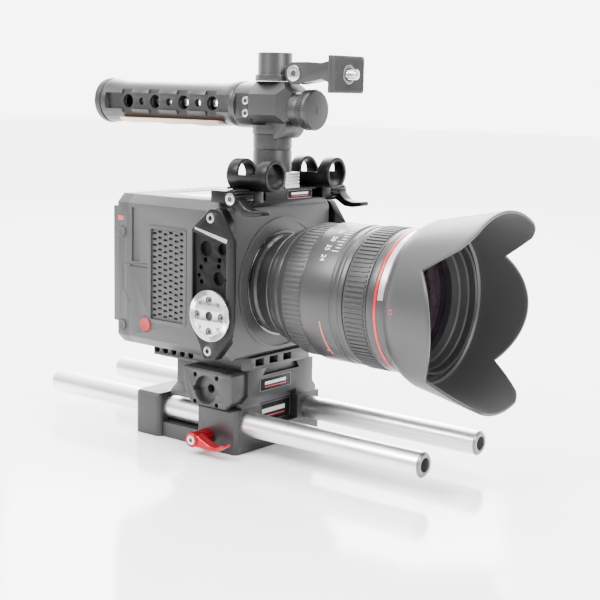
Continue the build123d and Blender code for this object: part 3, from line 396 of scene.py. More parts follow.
M = {
    "body": surface("body_paint", "body_grey", (0.036, 0.0355, 0.036), 0.42, grain=2600, depth=0.012,
                    tint=0.1),
    # Darker body paint for the grooves of the side: painted shade.
    "body_groove_shade": surface("body_paint_groove_shade", "body_grey", (0.016, 0.016, 0.017), 0.5, grain=2600,
                         depth=0.012),
    "base": surface("anodised_grey", "base_grey", (0.032, 0.0315, 0.032), 0.38, 0.35, grain=2200,
                    depth=0.006),
    # Darker grey for the pockets of the handle: painted shade.
    "base_pocket_shade": surface("anodised_pocket_shade", "base_grey", (0.012, 0.012, 0.012), 0.45, 0.2),
    "black": surface("anodised_black", "black_anodised", (0.0022, 0.0022, 0.0024), 0.36, 0.0,
                     grain=2200, depth=0.005, spec=0.22),
    "rod": surface("rod_aluminium", "rod_silver", (0.86, 0.86, 0.87), 0.33, 1.0, grain=900, depth=0.002,
                   tint=0.05,
                   stretch=(6, 0.4, 0.4)),
    # Darker metal for the rod ends, and painted shade inside their sockets.
    "rod_end": surface("rod_end_face_and_bore_shade", "rod_silver", (0.16, 0.16, 0.17), 0.35, 0.8, grain=900,
                       depth=0.004),
    "silver": surface("machined_silver", "rosette_silver", (0.50, 0.50, 0.51), 0.22, 1.0, grain=1200,
                      depth=0.003),
    "steel": surface("screw_steel", "screw_steel", (0.58, 0.58, 0.60), 0.22, 1.0, grain=1500,
                     depth=0.003),
    "ribbed": surface("ribbed_aluminium", "ribbed_silver", (0.62, 0.63, 0.63), 0.3, 1.0, grain=1500,
                      depth=0.003),
    "rubber": surface("grip_rubber", "rubber_grip", (0.017, 0.017, 0.018), 0.55, grain=3000,
                      depth=0.015, tint=0.15),
    "lens": surface("lens_enamel", "lens_metal", (0.026, 0.026, 0.027), 0.33, 0.1, grain=3000,
                    depth=0.006),
    "lens_dark": surface("lens_inside", "lens_metal", (0.008, 0.008, 0.009), 0.6, grain=2500,
                         depth=0.01),
    "hood": surface("hood_plastic", "hood_plastic", (0.025, 0.025, 0.026), 0.4, grain=2600, depth=0.008,
                    tint=0.08),
    "hood_in": surface("hood_flock", "hood_plastic", (0.017, 0.017, 0.018), 0.9, grain=4200, depth=0.05,
                       tint=0.2),
    "red": surface("red_enamel", "red_enamel", (0.34, 0.004, 0.010), 0.28, grain=2000, depth=0.004,
                   coat=0.3),
    "red_metal": surface("red_anodised", "red_anodised", (0.36, 0.008, 0.018), 0.3, 0.7, grain=1800,
                         depth=0.004),
    "red_button": surface("button_red", "red_button", (0.26, 0.004, 0.009), 0.35, grain=2600,
                          depth=0.006),
    "button": surface("button_grey", "grey_button", (0.03, 0.03, 0.031), 0.45, grain=2600, depth=0.01),
    "plastic": surface("dark_plastic", "dark_plastic", (0.018, 0.018, 0.019), 0.5, grain=2400,
                       depth=0.012),
    "screen": surface("screen_glass", "display", (0.012, 0.012, 0.015), 0.08, grain=800, depth=0.0005,
                      coat=0.6),
    "board": surface("circuit_board", "electronics", (0.02, 0.09, 0.035), 0.5, grain=1200, depth=0.01,
                     tint=0.3),
    "mount": surface("mount_chrome", "mount_steel", (0.10, 0.10, 0.105), 0.14, 1.0, grain=1500,
                     depth=0.002),
    "wood": wood_surface(),
    "glass": glass_surface("coated_glass", "glass", (0.9, 0.84, 0.88)),
    "white": surface("mark_white", "lens_metal", (0.72, 0.72, 0.72), 0.5, grain=2000, depth=0.002,
                     tint=0.04),
    "orange": surface("mark_orange", "lens_metal", (0.62, 0.16, 0.07), 0.5, grain=2000, depth=0.002,
                      tint=0.05),
    "red_mark": surface("mark_red", "lens_metal", (0.5, 0.04, 0.05), 0.5, grain=2000, depth=0.002,
                        tint=0.05),
    "band": surface("name_band", "lens_metal", (0.62, 0.52, 0.53), 0.3, 0.8, grain=1500, depth=0.003),
    "void": surface("socket_shadow", "screw_steel", (0.02, 0.02, 0.02), 0.6, grain=2000, depth=0.005),
    "steel_dark": surface("blackened_steel", "screw_steel", (0.16, 0.16, 0.165), 0.3, 0.9, grain=1500,
                          depth=0.003),
    # Deeper black for the inside of the cage's milled pocket: painted shade.
    "black_pocket_shade": surface("anodised_recess_black", "black_anodised", (0.003, 0.003, 0.0033), 0.5,
                          grain=2200,
                          depth=0.005, spec=0.12),
    "steel_worn": surface("steel_satin", "screw_steel", (0.34, 0.34, 0.35), 0.3, 1.0, grain=1500,
                          depth=0.003),
    "badge": surface("badge_black", "black_anodised", (0.004, 0.004, 0.0045), 0.5, grain=1500,
                     depth=0.001, spec=0.15),
    "inside": surface("baffle_brown", "lens_metal", (0.020, 0.013, 0.015), 0.6, 0.0, grain=2000,
                      depth=0.004),
    # Inner glass: brown, with painted reflections in beige and blue.
    "glass_inner": element_surface_painted_reflections(),
}


def paint(obj, mat, test):
    """Gives another material to the faces whose middle (mm) passes the test."""
    obj.data.materials.append(mat)
    index = len(obj.data.materials) - 1
    for polygon in obj.data.polygons:
        if test(polygon.center / MM):
            polygon.material_index = index


def at(points):
    """Lens stations, measured from the front face of the body."""
    return [(FRONT + s, r) for s, r in points]


def ribbed(name, w0, w1, inner, root, crest, count, mat, body, replaces=(), axis="X",
           centre=(0.0, LENS_Z),
           land=0.5, gap=0.24, slot=None):
    """Ring with straight raised ribs that end in short slopes."""
    shape = ((0.0, 0.0), (gap, 0.0), (gap + 0.07, 0.75), (gap + 0.14, 1.0), (0.86, 1.0), (0.93, 0.75))
    stations = ((w0, 0.0, inner), (w0, 0.0, 0), (w0 + land, 0.0, 0), (w0 + land + 0.25, 0.8, 0),
                (w0 + land + 0.6, 1.0, 0), (w1 - land - 0.6, 1.0, 0), (w1 - land - 0.25, 0.8, 0),
                (w1 - land, 0.0, 0), (w1, 0.0, 0), (w1, 0.0, inner))
    bm = bmesh.new()
    rings = []
    for w, rise, fixed in stations:
        ring = []
        for i in range(count):
            for part, height in shape:
                t = 2 * math.pi * (i + part) / count
                r = fixed or root + (crest - root) * rise * height
                ring.append(bm.verts.new(Vector(to_axis(axis, centre[0] + r * math.cos(t),
                                                        centre[1] + r * math.sin(t), w)) * MM))
        rings.append(ring)
    size = count * len(shape)
    for a, b in zip(rings, rings[1:] + rings[:1]):
        for i in range(size):
            j = (i + 1) % size
            bm.faces.new((a[i], a[j], b[j], b[i]))
    return finish_mesh(name, bm, mat, body, replaces, 40)


# Rods


def make_rods():
    """Rods with a socket and a dark face at each end; the dark inside each socket is painted shade."""
    back, front = ROD_ENDS
    middle, half = (back + front) / 2, (front - back) / 2
    bore, depth, chamfer, face = 4.2, 14, 1.4, 6.1
    profile = [(back + depth, 0), (back + depth, bore), (back, bore), (back, face),
               (back + chamfer, ROD_R), (front - chamfer, ROD_R), (front, face), (front, bore),
               (front - depth, bore), (front - depth, 0)]
    for side, body in ((-1, "rod_right"), (1, "rod_left")):
        rod = lathe(body + "_look", profile, M["rod"], body, body, centre=(side * ROD_Y, ROD_Z),
                    segs=96, closed=False, radius=0.2)
        # End faces and chamfers take the darker metal; inside the sockets it is painted shade.
        paint(rod, M["rod_end"], lambda c: abs(c.x - middle) > half - 0.8 or
              (abs(c.x - middle) > half - 15 and math.hypot(c.y - side * ROD_Y, c.z - ROD_Z) < 5))


# Lens


def make_lens():
    """Turned rings of the lens from the adapter to the front glass."""
    lathe("lens_adapter_look", at([
        (0.8, 24), (0.8, 31.5), (3.5, 31.5), (5, 30.2), (14.4, 33.4), (15, 34.2), (15.8, 34.2),
        (16.2, 33.8),
        (18, 34.6), (20.5, 34.6), (20.5, 28), (5, 24)]), M["lens"], "rig", "lens_adapter")
    lathe("lens_barrel_look", at([
        (20.5, 28), (20.5, 35.6), (22, 36.5), (25.4, 37.0), (25.6, 36.6), (26.2, 36.6), (26.4, 37.1),
        (31.3, 37.8),
        (31.4, 38.0), (46.4, 38.0), (46.4, 40.9), (47.2, 41.5), (67.4, 41.5), (68.0, 40.6),
        (70.2, 40.6),
        (70.8, 41.4), (73.0, 41.4), (73.6, 40.8), (76.2, 40.8), (76.8, 39.6), (93.2, 39.6),
        (93.2, 36.0),
        (31.7, 36.0), (31.7, 32), (26, 28)]), M["lens"], "rig", "lens_barrel", segs=192)
    lathe("focus_ring_look", at([(31.7, 38.06), (31.7, 39.5), (32.2, 39.9), (45.7, 39.9), (46.2, 39.5),
                                 (46.2, 38.06)]),
          M["lens"], "focus_ring", "focus_ring", radius=0.15)
    ribbed("focus_grip_look", FRONT + 32.3, FRONT + 45.6, 39.3, 39.5, 40.3, 84, M["rubber"],
           "focus_ring", "focus_grip")
    lathe("zoom_ring_look", at([(77.2, 39.66), (77.2, 41.0), (77.7, 41.5), (92.7, 41.5), (93.2, 41.0),
                                (93.2, 39.66)]),
          M["lens"], "zoom_ring", "zoom_ring", radius=0.15)
    ribbed("zoom_grip_look", FRONT + 77.8, FRONT + 92.6, 41.0, 41.35, 42.2, 92, M["rubber"],
           "zoom_ring", "zoom_grip")
    barrel = lathe("front_barrel_look", at([
        (93.6, 41.5), (94.1, 42), (98.3, 42), (98.5, 41.6), (98.5, 40.8), (100.8, 40.8), (100.8, 41.6),
        (101, 42),
        (105.9, 42), (106.5, 41.4), (106.5, 40.0), (117, 40.0), (117, 39.0), (116, 38.5), (112.4, 38.0),
        (111.6, 37.2), (107.6, 36.0), (106.8, 35.0), (104.0, 33.8), (103.2, 33.3), (98, 33.0),
        (62, 34.2),
        (62, 35.94), (93.6, 35.94)]),
        M["lens"], "front_barrel", "front_barrel", segs=192, radius=0.12)
    paint(barrel, M["lens_dark"], lambda c: math.hypot(c.y, c.z - LENS_Z) < 38.6 and c.x > FRONT + 97)
    lathe("red_ring_look", at([(98.5, 40.9), (98.5, 41.9), (98.8, 42.2), (100.5, 42.2), (100.8, 41.9),
                               (100.8, 40.9)]),
          M["red"], "front_barrel", "red_ring", segs=192, radius=0.12)
    # Name band, left blank, let into the barrel behind the hood
    arc_band("name_band", 101.3, 104.9, 80, 172, 42.06, M["band"], "front_barrel")
    # Front element: flat behind, with a spherical cap in front
    back, edge, rim, rise, steps = 96.4, 99.4, 33.0, 4.0, 12
    sphere = (rim ** 2 + rise ** 2) / (2 * rise)
    glass = [(back, 0.0), (back, rim), (edge, rim)]
    for i in range(1, steps + 1):
        r = rim * (1 - i / steps)
        glass.append((edge + rise - sphere + math.sqrt(sphere ** 2 - r * r), r))
    lathe("front_glass_look", at(glass), M["glass"], "front_barrel", "front_glass", segs=128,
          closed=False, radius=0)
    make_optics()
    make_hood()
    make_scale()


def arc_band(name, s0, s1, a0, a1, radius, mat, body, steps=48, thick=0.25):
    """Curved label on a lens ring, between two angles (degrees from +Y, up)."""
    bm = bmesh.new()
    rows = []
    for r in (radius, radius - thick):
        for s in ((s0, s1) if r == radius else (s1, s0)):
            row = []
            for i in range(steps + 1):
                t = math.radians(a0 + (a1 - a0) * i / steps)
                row.append(bm.verts.new(Vector((FRONT + s, r * math.cos(t),
                                                LENS_Z + r * math.sin(t))) * MM))
            rows.append(row)
    for a, b in zip(rows, rows[1:] + rows[:1]):
        for i in range(steps):
            bm.faces.new((a[i], a[i + 1], b[i + 1], b[i]))
    for end in (0, steps):
        bm.faces.new([row[end] for row in rows])
    return finish_mesh(name, bm, mat, body)


def make_optics():
    """What shows through the front element: dark steps and a smaller coated element."""
    for name, s, r0, r1 in (("baffle_outer", 92.0, 26.5, 33.8), ("baffle_middle", 86.0, 22.0, 34.4),
                            ("baffle_inner", 78.0, 18.0, 34.8)):
        lathe(name, at([(s, r0), (s + 2.2, r0 + 2.4), (s + 3.2, r1 - 0.4), (s + 3.2, r1), (s, r1)]),
              M["inside"], "front_barrel", segs=128)
    back, front, rim, sphere, steps = 66.0, 80.0, 24.0, 60.0, 10
    dome = [(back, 0.0), (back, rim)]
    for i in range(steps + 1):
        r = rim * (1 - i / steps)
        dome.append((front - sphere + math.sqrt(sphere ** 2 - r * r), r))
    # The smaller element carries painted reflections in beige and blue.
    lathe("second_element", at(dome), M["glass_inner"], "front_barrel", segs=96, closed=False, radius=0)


def hood_edge(z):
    """The outline of the petals: the station where the hood ends, for a height above the axis."""
    if z >= NOTCH_TOP:
        points = [(NOTCH_TOP, NOTCH_S), (39.2, 151.5), (42.0, 153.9), (45.0, 155.9), (48.0, 157.0),
                  (52.0, 157.8), (60, HOOD_END)]
    elif z <= NOTCH_BOTTOM:
        points = [(-60, HOOD_END), (-55.5, 157.9), (-53.0, 156.4), (-51.2, 154.8), (-49.5, 153.0),
                  (NOTCH_BOTTOM, NOTCH_S)]
    else:
        # Side petals: a circle through both notches
        middle, half = (NOTCH_TOP + NOTCH_BOTTOM) / 2, (NOTCH_TOP - NOTCH_BOTTOM) / 2
        radius = (half ** 2 + SIDE_REACH ** 2) / (2 * SIDE_REACH)
        return NOTCH_S + SIDE_REACH - radius + math.sqrt(max(0.0, radius ** 2 - (z - middle) ** 2))
    for (z0, s0), (z1, s1) in zip(points, points[1:]):
        if z0 <= z <= z1:
            return s0 + (s1 - s0) * (z - z0) / (z1 - z0)
    return HOOD_END


def hood_radius(s):
    """Outside radius of the hood at a station."""
    for (s0, r0), (s1, r1) in zip(HOOD, HOOD[1:]):
        if s <= s1:
            return r0 + (r1 - r0) * (s - s0) / (s1 - s0)
    return HOOD[-1][1]


def make_hood():
    """Petal hood: a flared shell with a rolled edge that follows the petals."""
    root = [s for s, _ in HOOD[:-1]]
    start, shoulder, widest = root[0], root[-1], HOOD[-1][0]
    inside = 117.0  # where the even wall begins
    angles = sorted({360.0 * i / 400 for i in range(400)} | {math.degrees(a) for a in notch_angles()})
    bm = bmesh.new()
    columns = []
    for degrees in angles:
        t = math.radians(degrees)
        low, high = 125.0, widest
        if hood_edge(hood_radius(high) * math.sin(t)) >= high:
            low = high
        for _ in range(40):
            middle = (low + high) / 2
            if middle < hood_edge(hood_radius(middle) * math.sin(t)):
                low = middle
            else:
                high = middle
        end, straight = low, low - 0.5
        outer = root + [shoulder + (straight - shoulder) * k / 14 for k in range(1, 15)]
        column = [(s, hood_radius(s)) for s in outer]
        column.append((end - 0.12, hood_radius(end - 0.12) - 0.18))
        column.append((end, hood_radius(end) - 0.55))
        column.append((end, hood_radius(end) - HOOD_WALL + 0.55))
        column.append((end - 0.12, hood_radius(end) - HOOD_WALL + 0.18))
        inner = [straight - (straight - inside) * k / 14 for k in range(15)]
        column += [(s, hood_radius(s) - HOOD_WALL - 0.3 * max(0.0, 1 - (s - inside) / 12)) for s in inner]
        column += [(115.0, 46.3), (112.5, 45.0), (112.5, 40.6), (start, 40.6)]
        columns.append([bm.verts.new(Vector((FRONT + s, r * math.cos(t),
                                             LENS_Z + r * math.sin(t))) * MM)
                        for s, r in column])
    for a, b in zip(columns, columns[1:] + columns[:1]):
        for i in range(len(a)):
            j = (i + 1) % len(a)
            bm.faces.new((a[i], a[j], b[j], b[i]))
    hood = finish_mesh("lens_hood_look", bm, M["hood"], "lens_hood", "lens_hood", angle=50)
    paint(hood, M["hood_in"], lambda c: math.hypot(c.y, c.z - LENS_Z) < hood_radius(c.x - FRONT) - 1.5
          and c.x > FRONT + 112.4)
    # Stiffening lip inside and the alignment mark outside
    lathe("hood_inner_lip", at([(112.6, 44.6), (113.6, 44.2), (114.4, 44.6), (115.4, 46.0),
                                (112.6, 46.0)]), M["hood"],
          "lens_hood", segs=160, radius=0.2)
    ring_mark("hood_mark_ring", 115.0, 178.0, 1.5, 0.35, M["red_mark"], "lens_hood")


def notch_angles():
    """Angles of the four notches, where the hood is shortest."""
    r = hood_radius(NOTCH_S)
    top, bottom = math.asin(NOTCH_TOP / r), math.asin(NOTCH_BOTTOM / r)
    return [top, math.pi - top, bottom % (2 * math.pi), (math.pi - bottom) % (2 * math.pi)]


def on_hood(s, degrees, lift):
    """Point just off the hood's outside, in metres."""
    t = math.radians(degrees)
    r = hood_radius(s) + lift
    return Vector((FRONT + s, r * math.cos(t), LENS_Z + r * math.sin(t))) * MM


def ring_mark(name, s, degrees, radius, width, mat, body):
    """Small painted ring that lies on the hood."""
    bm = bmesh.new()
    count, hood_r = 28, 47.0
    inner, outer = [], []
    for i in range(count):
        a = 2 * math.pi * i / count
        for ring, r in ((inner, radius - width), (outer, radius)):
            around = degrees + math.degrees(r * math.sin(a) / hood_r)
            ring.append(bm.verts.new(on_hood(s + r * math.cos(a), around, 0.05)))
    for i in range(count):
        j = (i + 1) % count
        bm.faces.new((inner[i], inner[j], outer[j], outer[i]))
    return finish_mesh(name, bm, mat, body)


def tick(bm, s0, s1, degrees, width, radius):
    """One painted line along the lens on a ring of the given radius."""
    half = math.degrees(width / 2 / radius)
    corners = [(s0, degrees - half), (s1, degrees - half), (s1, degrees + half), (s0, degrees + half)]
    points = []
    for s, a in corners:
        t = math.radians(a)
        points.append(bm.verts.new(Vector((FRONT + s, radius * math.cos(t),
                                           LENS_Z + radius * math.sin(t))) * MM))
    bm.faces.new(points)


def number(text, degrees):
    """A number of the scale, which lies on the barrel and reads along its circumference."""
    name, s, radius = "scale_" + text, 57.0, 41.55
    curve = bpy.data.curves.new(name, "FONT")
    curve.body = text
    curve.size = 4.6
    curve.align_x = "CENTER"
    curve.align_y = "CENTER"
    holder = bpy.data.objects.new(name, curve)
    bpy.context.scene.collection.objects.link(holder)
    mesh = bpy.data.meshes.new_from_object(holder.evaluated_get(bpy.context.evaluated_depsgraph_get()))
    bpy.data.objects.remove(holder)
    bm = bmesh.new()
    bm.from_mesh(mesh)
    bpy.data.meshes.remove(mesh)
    for vertex in bm.verts:
        u, v = vertex.co.x, vertex.co.y
        t = math.radians(degrees) + u / radius
        vertex.co = Vector((FRONT + s + v, radius * math.cos(t), LENS_Z + radius * math.sin(t))) * MM
    return finish_mesh(name, bm, M["white"], "rig")


def make_scale():
    """Painted marks of the fixed barrel: ticks, numbers and a thin coloured line."""
    bm = bmesh.new()
    for i in range(13):
        tick(bm, 62.4 if i % 3 else 60.6, 65.6, 96.0 + 3.4 * i, 0.42, 41.54)
    finish_mesh("scale_ticks", bm, M["white"], "rig", weld=False)
    for text, angle in (("105", 99.0), ("70", 113.0), ("50", 124.0), ("35", 134.0), ("24", 144.0)):
        number(text, angle)
    arc_band("coloured_arc", 60.0, 60.7, 196, 232, 41.58, M["orange"], "rig", 40, 0.2)
    arc_band("coloured_arc_end", 58.2, 60.0, 226, 227.2, 41.58, M["orange"], "rig", 4, 0.2)


# Camera body


def make_body():
    """Castings with their CAD shapes, and the grille, buttons and grooves of the right side; the grooves are
    thin dark sheets, painted shade.
    """
    for node in ("camera_shell", "front_housing", "rear_housing"):
        refine(node, M["body"], 0.6, 3)
    refine("battery_pack", M["plastic"], 0.6)
    refine("port_panel", M["plastic"], 0.3)
    refine("top_display", M["screen"], 0.3)
    refine("lens_mount_ring", M["mount"], 0.25)
    refine("vent_grille", M["body"], 0.15)
    plate("grille_backing", box_outline(*grown(GRILLE, -0.1)), M["button"], "rig", "Y", -46.6, -46.0,
          (), 0.05)
    plate("grille_frame", box_outline(*grown(GRILLE, 2.4), 3.0, 5), M["body"], "rig", "Y", -49.25,
          -48.9, [box_outline(*GRILLE, 1.2)], 0.12)
    for node, radius, x, z, mat in (("rec_button", 4.5, -26.6, 73.8, "red_button"),
                                    ("power_button", 3.2, -47.2, 70.9, "button"),
                                    ("user_button", 3.2, -47.2, 131.1, "button")):
        lathe(node + "_look", [(-49.6, 0), (-49.9, radius - 1.0), (-50.0, radius - 0.4),
                               (-49.7, radius), (-44.0, radius),
                               (-44.0, 0)], M[mat], node, node, "Y", (x, z), 64, False, radius=0.15)
        lathe(node + "_rim", [(-49.0, radius + 0.15), (-49.3, radius + 0.3), (-49.3, radius + 0.9),
                              (-49.0, radius + 1.1),
                              (-48.8, radius + 0.6)], M["body"], "rig", (), "Y", (x, z), 64, radius=0.1)
    plate("indicator_label", box_outline(-51.4, -46.4, 138.2, 141.0, 0.8), M["red_mark"], "rig", "Y",
          -49.1, -48.9,
          (), 0.05, slot="red_enamel")
    # The grooves are not cut: thin sheets of darker paint lie on the side as painted shade.
    line = [(-46.5, 110.6), (-41.0, 110.6), (-24.5, 112.0), (-24.5, 112.8), (-41.0, 111.4),
            (-46.5, 111.4)]
    corner = [(-47.6, 109.0), (-46.8, 109.0), (-46.4, 95.5), (-40.2, 86.0), (-41.0, 85.6),
              (-47.2, 95.2)]
    for name, groove in (("side_groove_shade", line), ("side_corner_groove_shade", corner)):
        plate(name, groove, M["body_groove_shade"], "rig", "Y", -49.06, -48.9, (), 0.02)


# Cage


def make_cage():
    """Side plates with their toothed discs, screws, marks and strips of ribs."""
    for side, name in ((-1, "right"), (1, "left")):
        cage = refine("cage_plate_" + name, M["black"], 0.35, 2)
        # Painted shade: the faces inside the milled pocket take a deeper black.
        paint(cage, M["black_pocket_shade"], lambda c: 51.0 < abs(c.y) < 54.6 and c.x < 46.9 and 62 < c.z < 137)
        make_rosette(side, name)
        for x, z, tag in ((33.8, 146.2, "top"), (32.4, 66.0, "bottom")):
            screw(f"cage_screw_{name}_{tag}", "Y", x, z, side * 53.9, 3.1, 2.0, side, "rig",
                  M["steel_worn"])
        plate("cage_mark_" + name, circle(51.2, 131.6, 0.8, 20), M["white"], "rig", "Y",
              *sorted((side * 55.9, side * 56.0)), (), 0.02, slot="black_anodised")
        strip(side, name)
    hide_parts("cage_screws")


def around_rosette(radius, angle):
    """x, z of a point around the middle of the toothed discs."""
    return ROSETTE[0] + radius * math.cos(angle), ROSETTE[1] + radius * math.sin(angle)


def make_rosette(side, name):
    """Toothed disc with four screws, four dark pin holes and a dark centre."""
    quarters = [math.pi * i / 2 for i in range(4)]
    holes = [circle(*ROSETTE, 2.75, 32)]
    holes += [circle(*around_rosette(SCREW_CIRCLE, a), 2.5, 28) for a in quarters]
    plate("rosette_disc_" + name, circle(*ROSETTE, ROSETTE_R, 120), M["silver"], "rig", "Y",
          *sorted((side * 56.0, side * 57.9)), holes, 0.35, "rosette_" + name)
    teeth(side, name)
    pin = [(side * 57.6, 0), (side * 57.95, 0.6), (side * 57.95, 1.1), (side * 57.6, 1.4)]
    for i, a in enumerate(quarters):
        screw(f"rosette_screw_{name}_{i}", "Y", *around_rosette(SCREW_CIRCLE, a), side * 56.6, 2.35,
              0.8,
              side, "rig", M["steel_dark"])
        lathe(f"rosette_pin_{name}_{i}", pin, M["void"], "rig", (), "Y",
              around_rosette(10.2, a + math.pi / 4), 24, False, radius=0)
    plate("rosette_floor_" + name, circle(*ROSETTE, 2.9, 32), M["void"], "rig", "Y",
          *sorted((side * 56.1, side * 56.4)), (), 0.02)


def teeth(side, name):
    """Toothed ring of a rosette: straight radial teeth."""
    count, height, face, foot = 60, 0.75, 57.8, 57.3
    bm = bmesh.new()
    rows = []
    for r, level, rise in ((11.6, face, 0.0), (12.0, face, height), (15.2, face, height),
                           (15.5, face, 0.0), (15.5, foot, 0.0), (11.6, foot, 0.0)):
        row = []
        for i in range(count * 2):
            x, z = around_rosette(r, math.pi * i / count)
            lift = rise * (i % 2) * r / ROSETTE_R
            row.append(bm.verts.new(Vector((x, side * (level + lift), z)) * MM))
        rows.append(row)
    for a, b in zip(rows, rows[1:] + rows[:1]):
        for i in range(count * 2):
            j = (i + 1) % (count * 2)
            bm.faces.new((a[i], a[j], b[j], b[i]))
    return finish_mesh("rosette_teeth_" + name, bm, M["silver"], "rig", angle=12)


def strip(side, name):
    """Slanted strip of fine ribs across the top of the milled pocket."""
    start, end = Vector((22.1, 139.4)), Vector((47.9, 133.3))
    along = (end - start).normalized()
    across = Vector((-along.y, along.x))
    count = 30
    step = (end - start).length / count
    bm = bmesh.new()
    for i in range(count):
        width = 1.3 + 1.2 * i / count
        a, b = start + along * step * i, start + along * step * (i + 0.6)
        low, high = side * 56.0, side * 56.35
        corners = [a - across * width / 2, b - across * width / 2, b + across * width / 2,
                   a + across * width / 2]
        base = [bm.verts.new(Vector((c.x, low, c.y)) * MM) for c in corners]
        top = [bm.verts.new(Vector((c.x * 0.999 + 0.03, high, c.y)) * MM) for c in corners]
        bm.faces.new(base)
        bm.faces.new(top)
        for k in range(4):
            bm.faces.new((base[k], base[(k + 1) % 4], top[(k + 1) % 4], top[k]))
    return finish_mesh("rib_strip_" + name, bm, M["ribbed"], "rig")


# Top bar, clamps and levers


def lever_arm(name, points, hinge, side_y, mat, body):
    """Curved finger arm of a clamping lever, drawn around its screw."""
    outline = soften([(hinge[0] + a, hinge[1] + b) for a, b in points], 1.6, 4)
    plate(name, outline, mat, body, "Y", *sorted(side_y), (), 0.9, rings=3)


def make_top():
    """Bar across the top with its rod clamps, levers, screws and badge."""
    refine("top_bar", M["black"], 0.4, 2)
    for side, name in ((-1, "right"), (1, "left")):
        refine("top_clamp_" + name, M["black"], 0.45, 2)
        hub = ribbed("top_lever_hub_" + name, *sorted((side * 38.2, side * 54.0)), 2.6, 4.6, 5.5, 14,
                     M["black"],
                     "top_lever_" + name, (), "Y", TOP_LEVER, land=0.6, gap=0.34)
        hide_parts("top_lever_" + name)
        arm = [(0.0, 5.0), (3.2, 3.2), (6.0, -1.0), (10.0, -4.6), (15.0, -6.0), (19.0, -5.9),
               (23.0, -5.5),
               (23.4, -6.8), (23.2, -8.1), (15.5, -9.5), (9.0, -9.0), (3.0, -5.4), (0.0, -5.0)]
        lever_arm("top_lever_arm_" + name, arm, TOP_LEVER, (side * 45.0, side * 53.0), M["black"],
                  "top_lever_" + name)
        screw("top_lever_screw_" + name, "Y", *TOP_LEVER, side * 53.6, 3.5, 0.5, side, "rig",
              M["steel"], 0.48)
    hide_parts("lever_screws")
    refine("ribbed_block", M["ribbed"], 0.2, 1)
    for i, (x, y) in enumerate(((38.0, -16.0), (38.0, 16.0), (20.0, -12.0), (20.0, 12.0))):
        screw(f"bar_screw_{i}", "Z", x, y, 159.8, 2.7, 1.8, 1, "rig", M["steel_dark"])
    badge("bar_badge", (-1.5, 22.6, 155.6, 160.8), 47.9, 48.35)


def badge(name, box, low, high):
    """Badge in a thin frame, with a pale bar and a red line in place of lettering."""
    plate(name + "_frame", box_outline(*box, 1.0), M["steel_dark"], "rig", "X", low, high,
          [box_outline(*grown(box, -0.35), 0.8)], 0.08)
    plate(name, box_outline(*grown(box, -0.4), 0.8), M["badge"], "rig", "X", low, high - 0.12, (), 0.05)
    u0, u1, v0, v1 = box
    middle, reach, step = (u0 + u1) / 2, (u1 - u0) * 0.34, (v1 - v0) / 10
    for tag, a, b, shade in (("bar", 4.6, 7.0, "white"), ("line", 2.4, 3.3, "red_mark")):
        outline = box_outline(middle - reach, middle + reach, v0 + a * step, v0 + b * step)
        plate(f"{name}_{tag}", outline, M[shade], "rig", "X", high - 0.2, high - 0.06, (), 0.02,
              slot="black_anodised")


# Handle


def make_handle():
    """Handle with its stem, head, cap and wooden rest, and the arm that carries the monitor."""
    lathe("handle_stem_look", [(162, 0), (162, 11.6), (162.4, 12.0), (184.8, 12.0), (185.0, 11.5),
                               (185.6, 11.5),
                               (185.8, 12.0), (195, 12.0), (195, 0)], M["base"], "rig", "handle_stem",
          "Z",
          (34.3, 0.0), 96, False, radius=0.15)
    head = refine("handle_block", M["base"], 0.8, 3)
    # Painted shade: the recessed flats round the head screws take a darker grey.
    paint(head, M["base_pocket_shade"], lambda c: 12.2 < abs(c.y) < 12.6 and 13.5 < c.x < 25.7 and 203.5 < c.z < 221)
    tube = refine("handle_tube", M["base"], 0.4, 2)
    # Painted shade: the inside faces of the pockets along the tube take a darker grey.
    paint(tube, M["base_pocket_shade"], lambda c: math.hypot(c.y, c.z - HANDLE_Z) < 12.2 and abs(c.y) > 4.0
          and c.z > 202.5 and -104 < c.x < 11.5)
    lathe("handle_end_cap_look", [(-104.5, 0), (-104.5, 13.6), (-105.5, 13.6), (-105.8, 14.4),
                                  (-106.4, 15.0),
                                  (-109.5, 15.0), (-110.5, 14.6), (-111.0, 13.6), (-111.0, 11.4),
                                  (-110.0, 10.4),
                                  (-109.6, 0)],
          M["base"], "rig", "handle_end_cap", centre=(0.0, HANDLE_Z), segs=128, closed=False,
          radius=0.25)
    for i, z in enumerate((207.2, 214.8)):
        for side in (-1, 1):
            screw(f"head_screw_{i}_{'right' if side < 0 else 'left'}", "Y", 23.2, z, side * 12.6, 2.5,
                  1.1, side, "rig",
                  M["steel"])
    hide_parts("top_screws")
    refine("wood_grip", M["wood"], 0.8, 3)
    refine("swivel_post", M["base"], 0.5, 2)
    refine("monitor_arm", M["base"], 0.35, 2)
    pin = screw("arm_pin_head", "Y", *ARM_PIN, -6.4, 4.9, 0.95, -1, "swivel_post", M["steel"], 0.4, 0.0)
    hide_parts("arm_pin")
    lathe("arm_pin_shank", [(-6.2, 0), (-6.2, 1.95), (6.7, 1.95), (7.0, 1.6), (7.0, 0)], M["steel"],
          "swivel_post", (),
          "Y", ARM_PIN, 40, False)
    make_pad()
    make_knob()


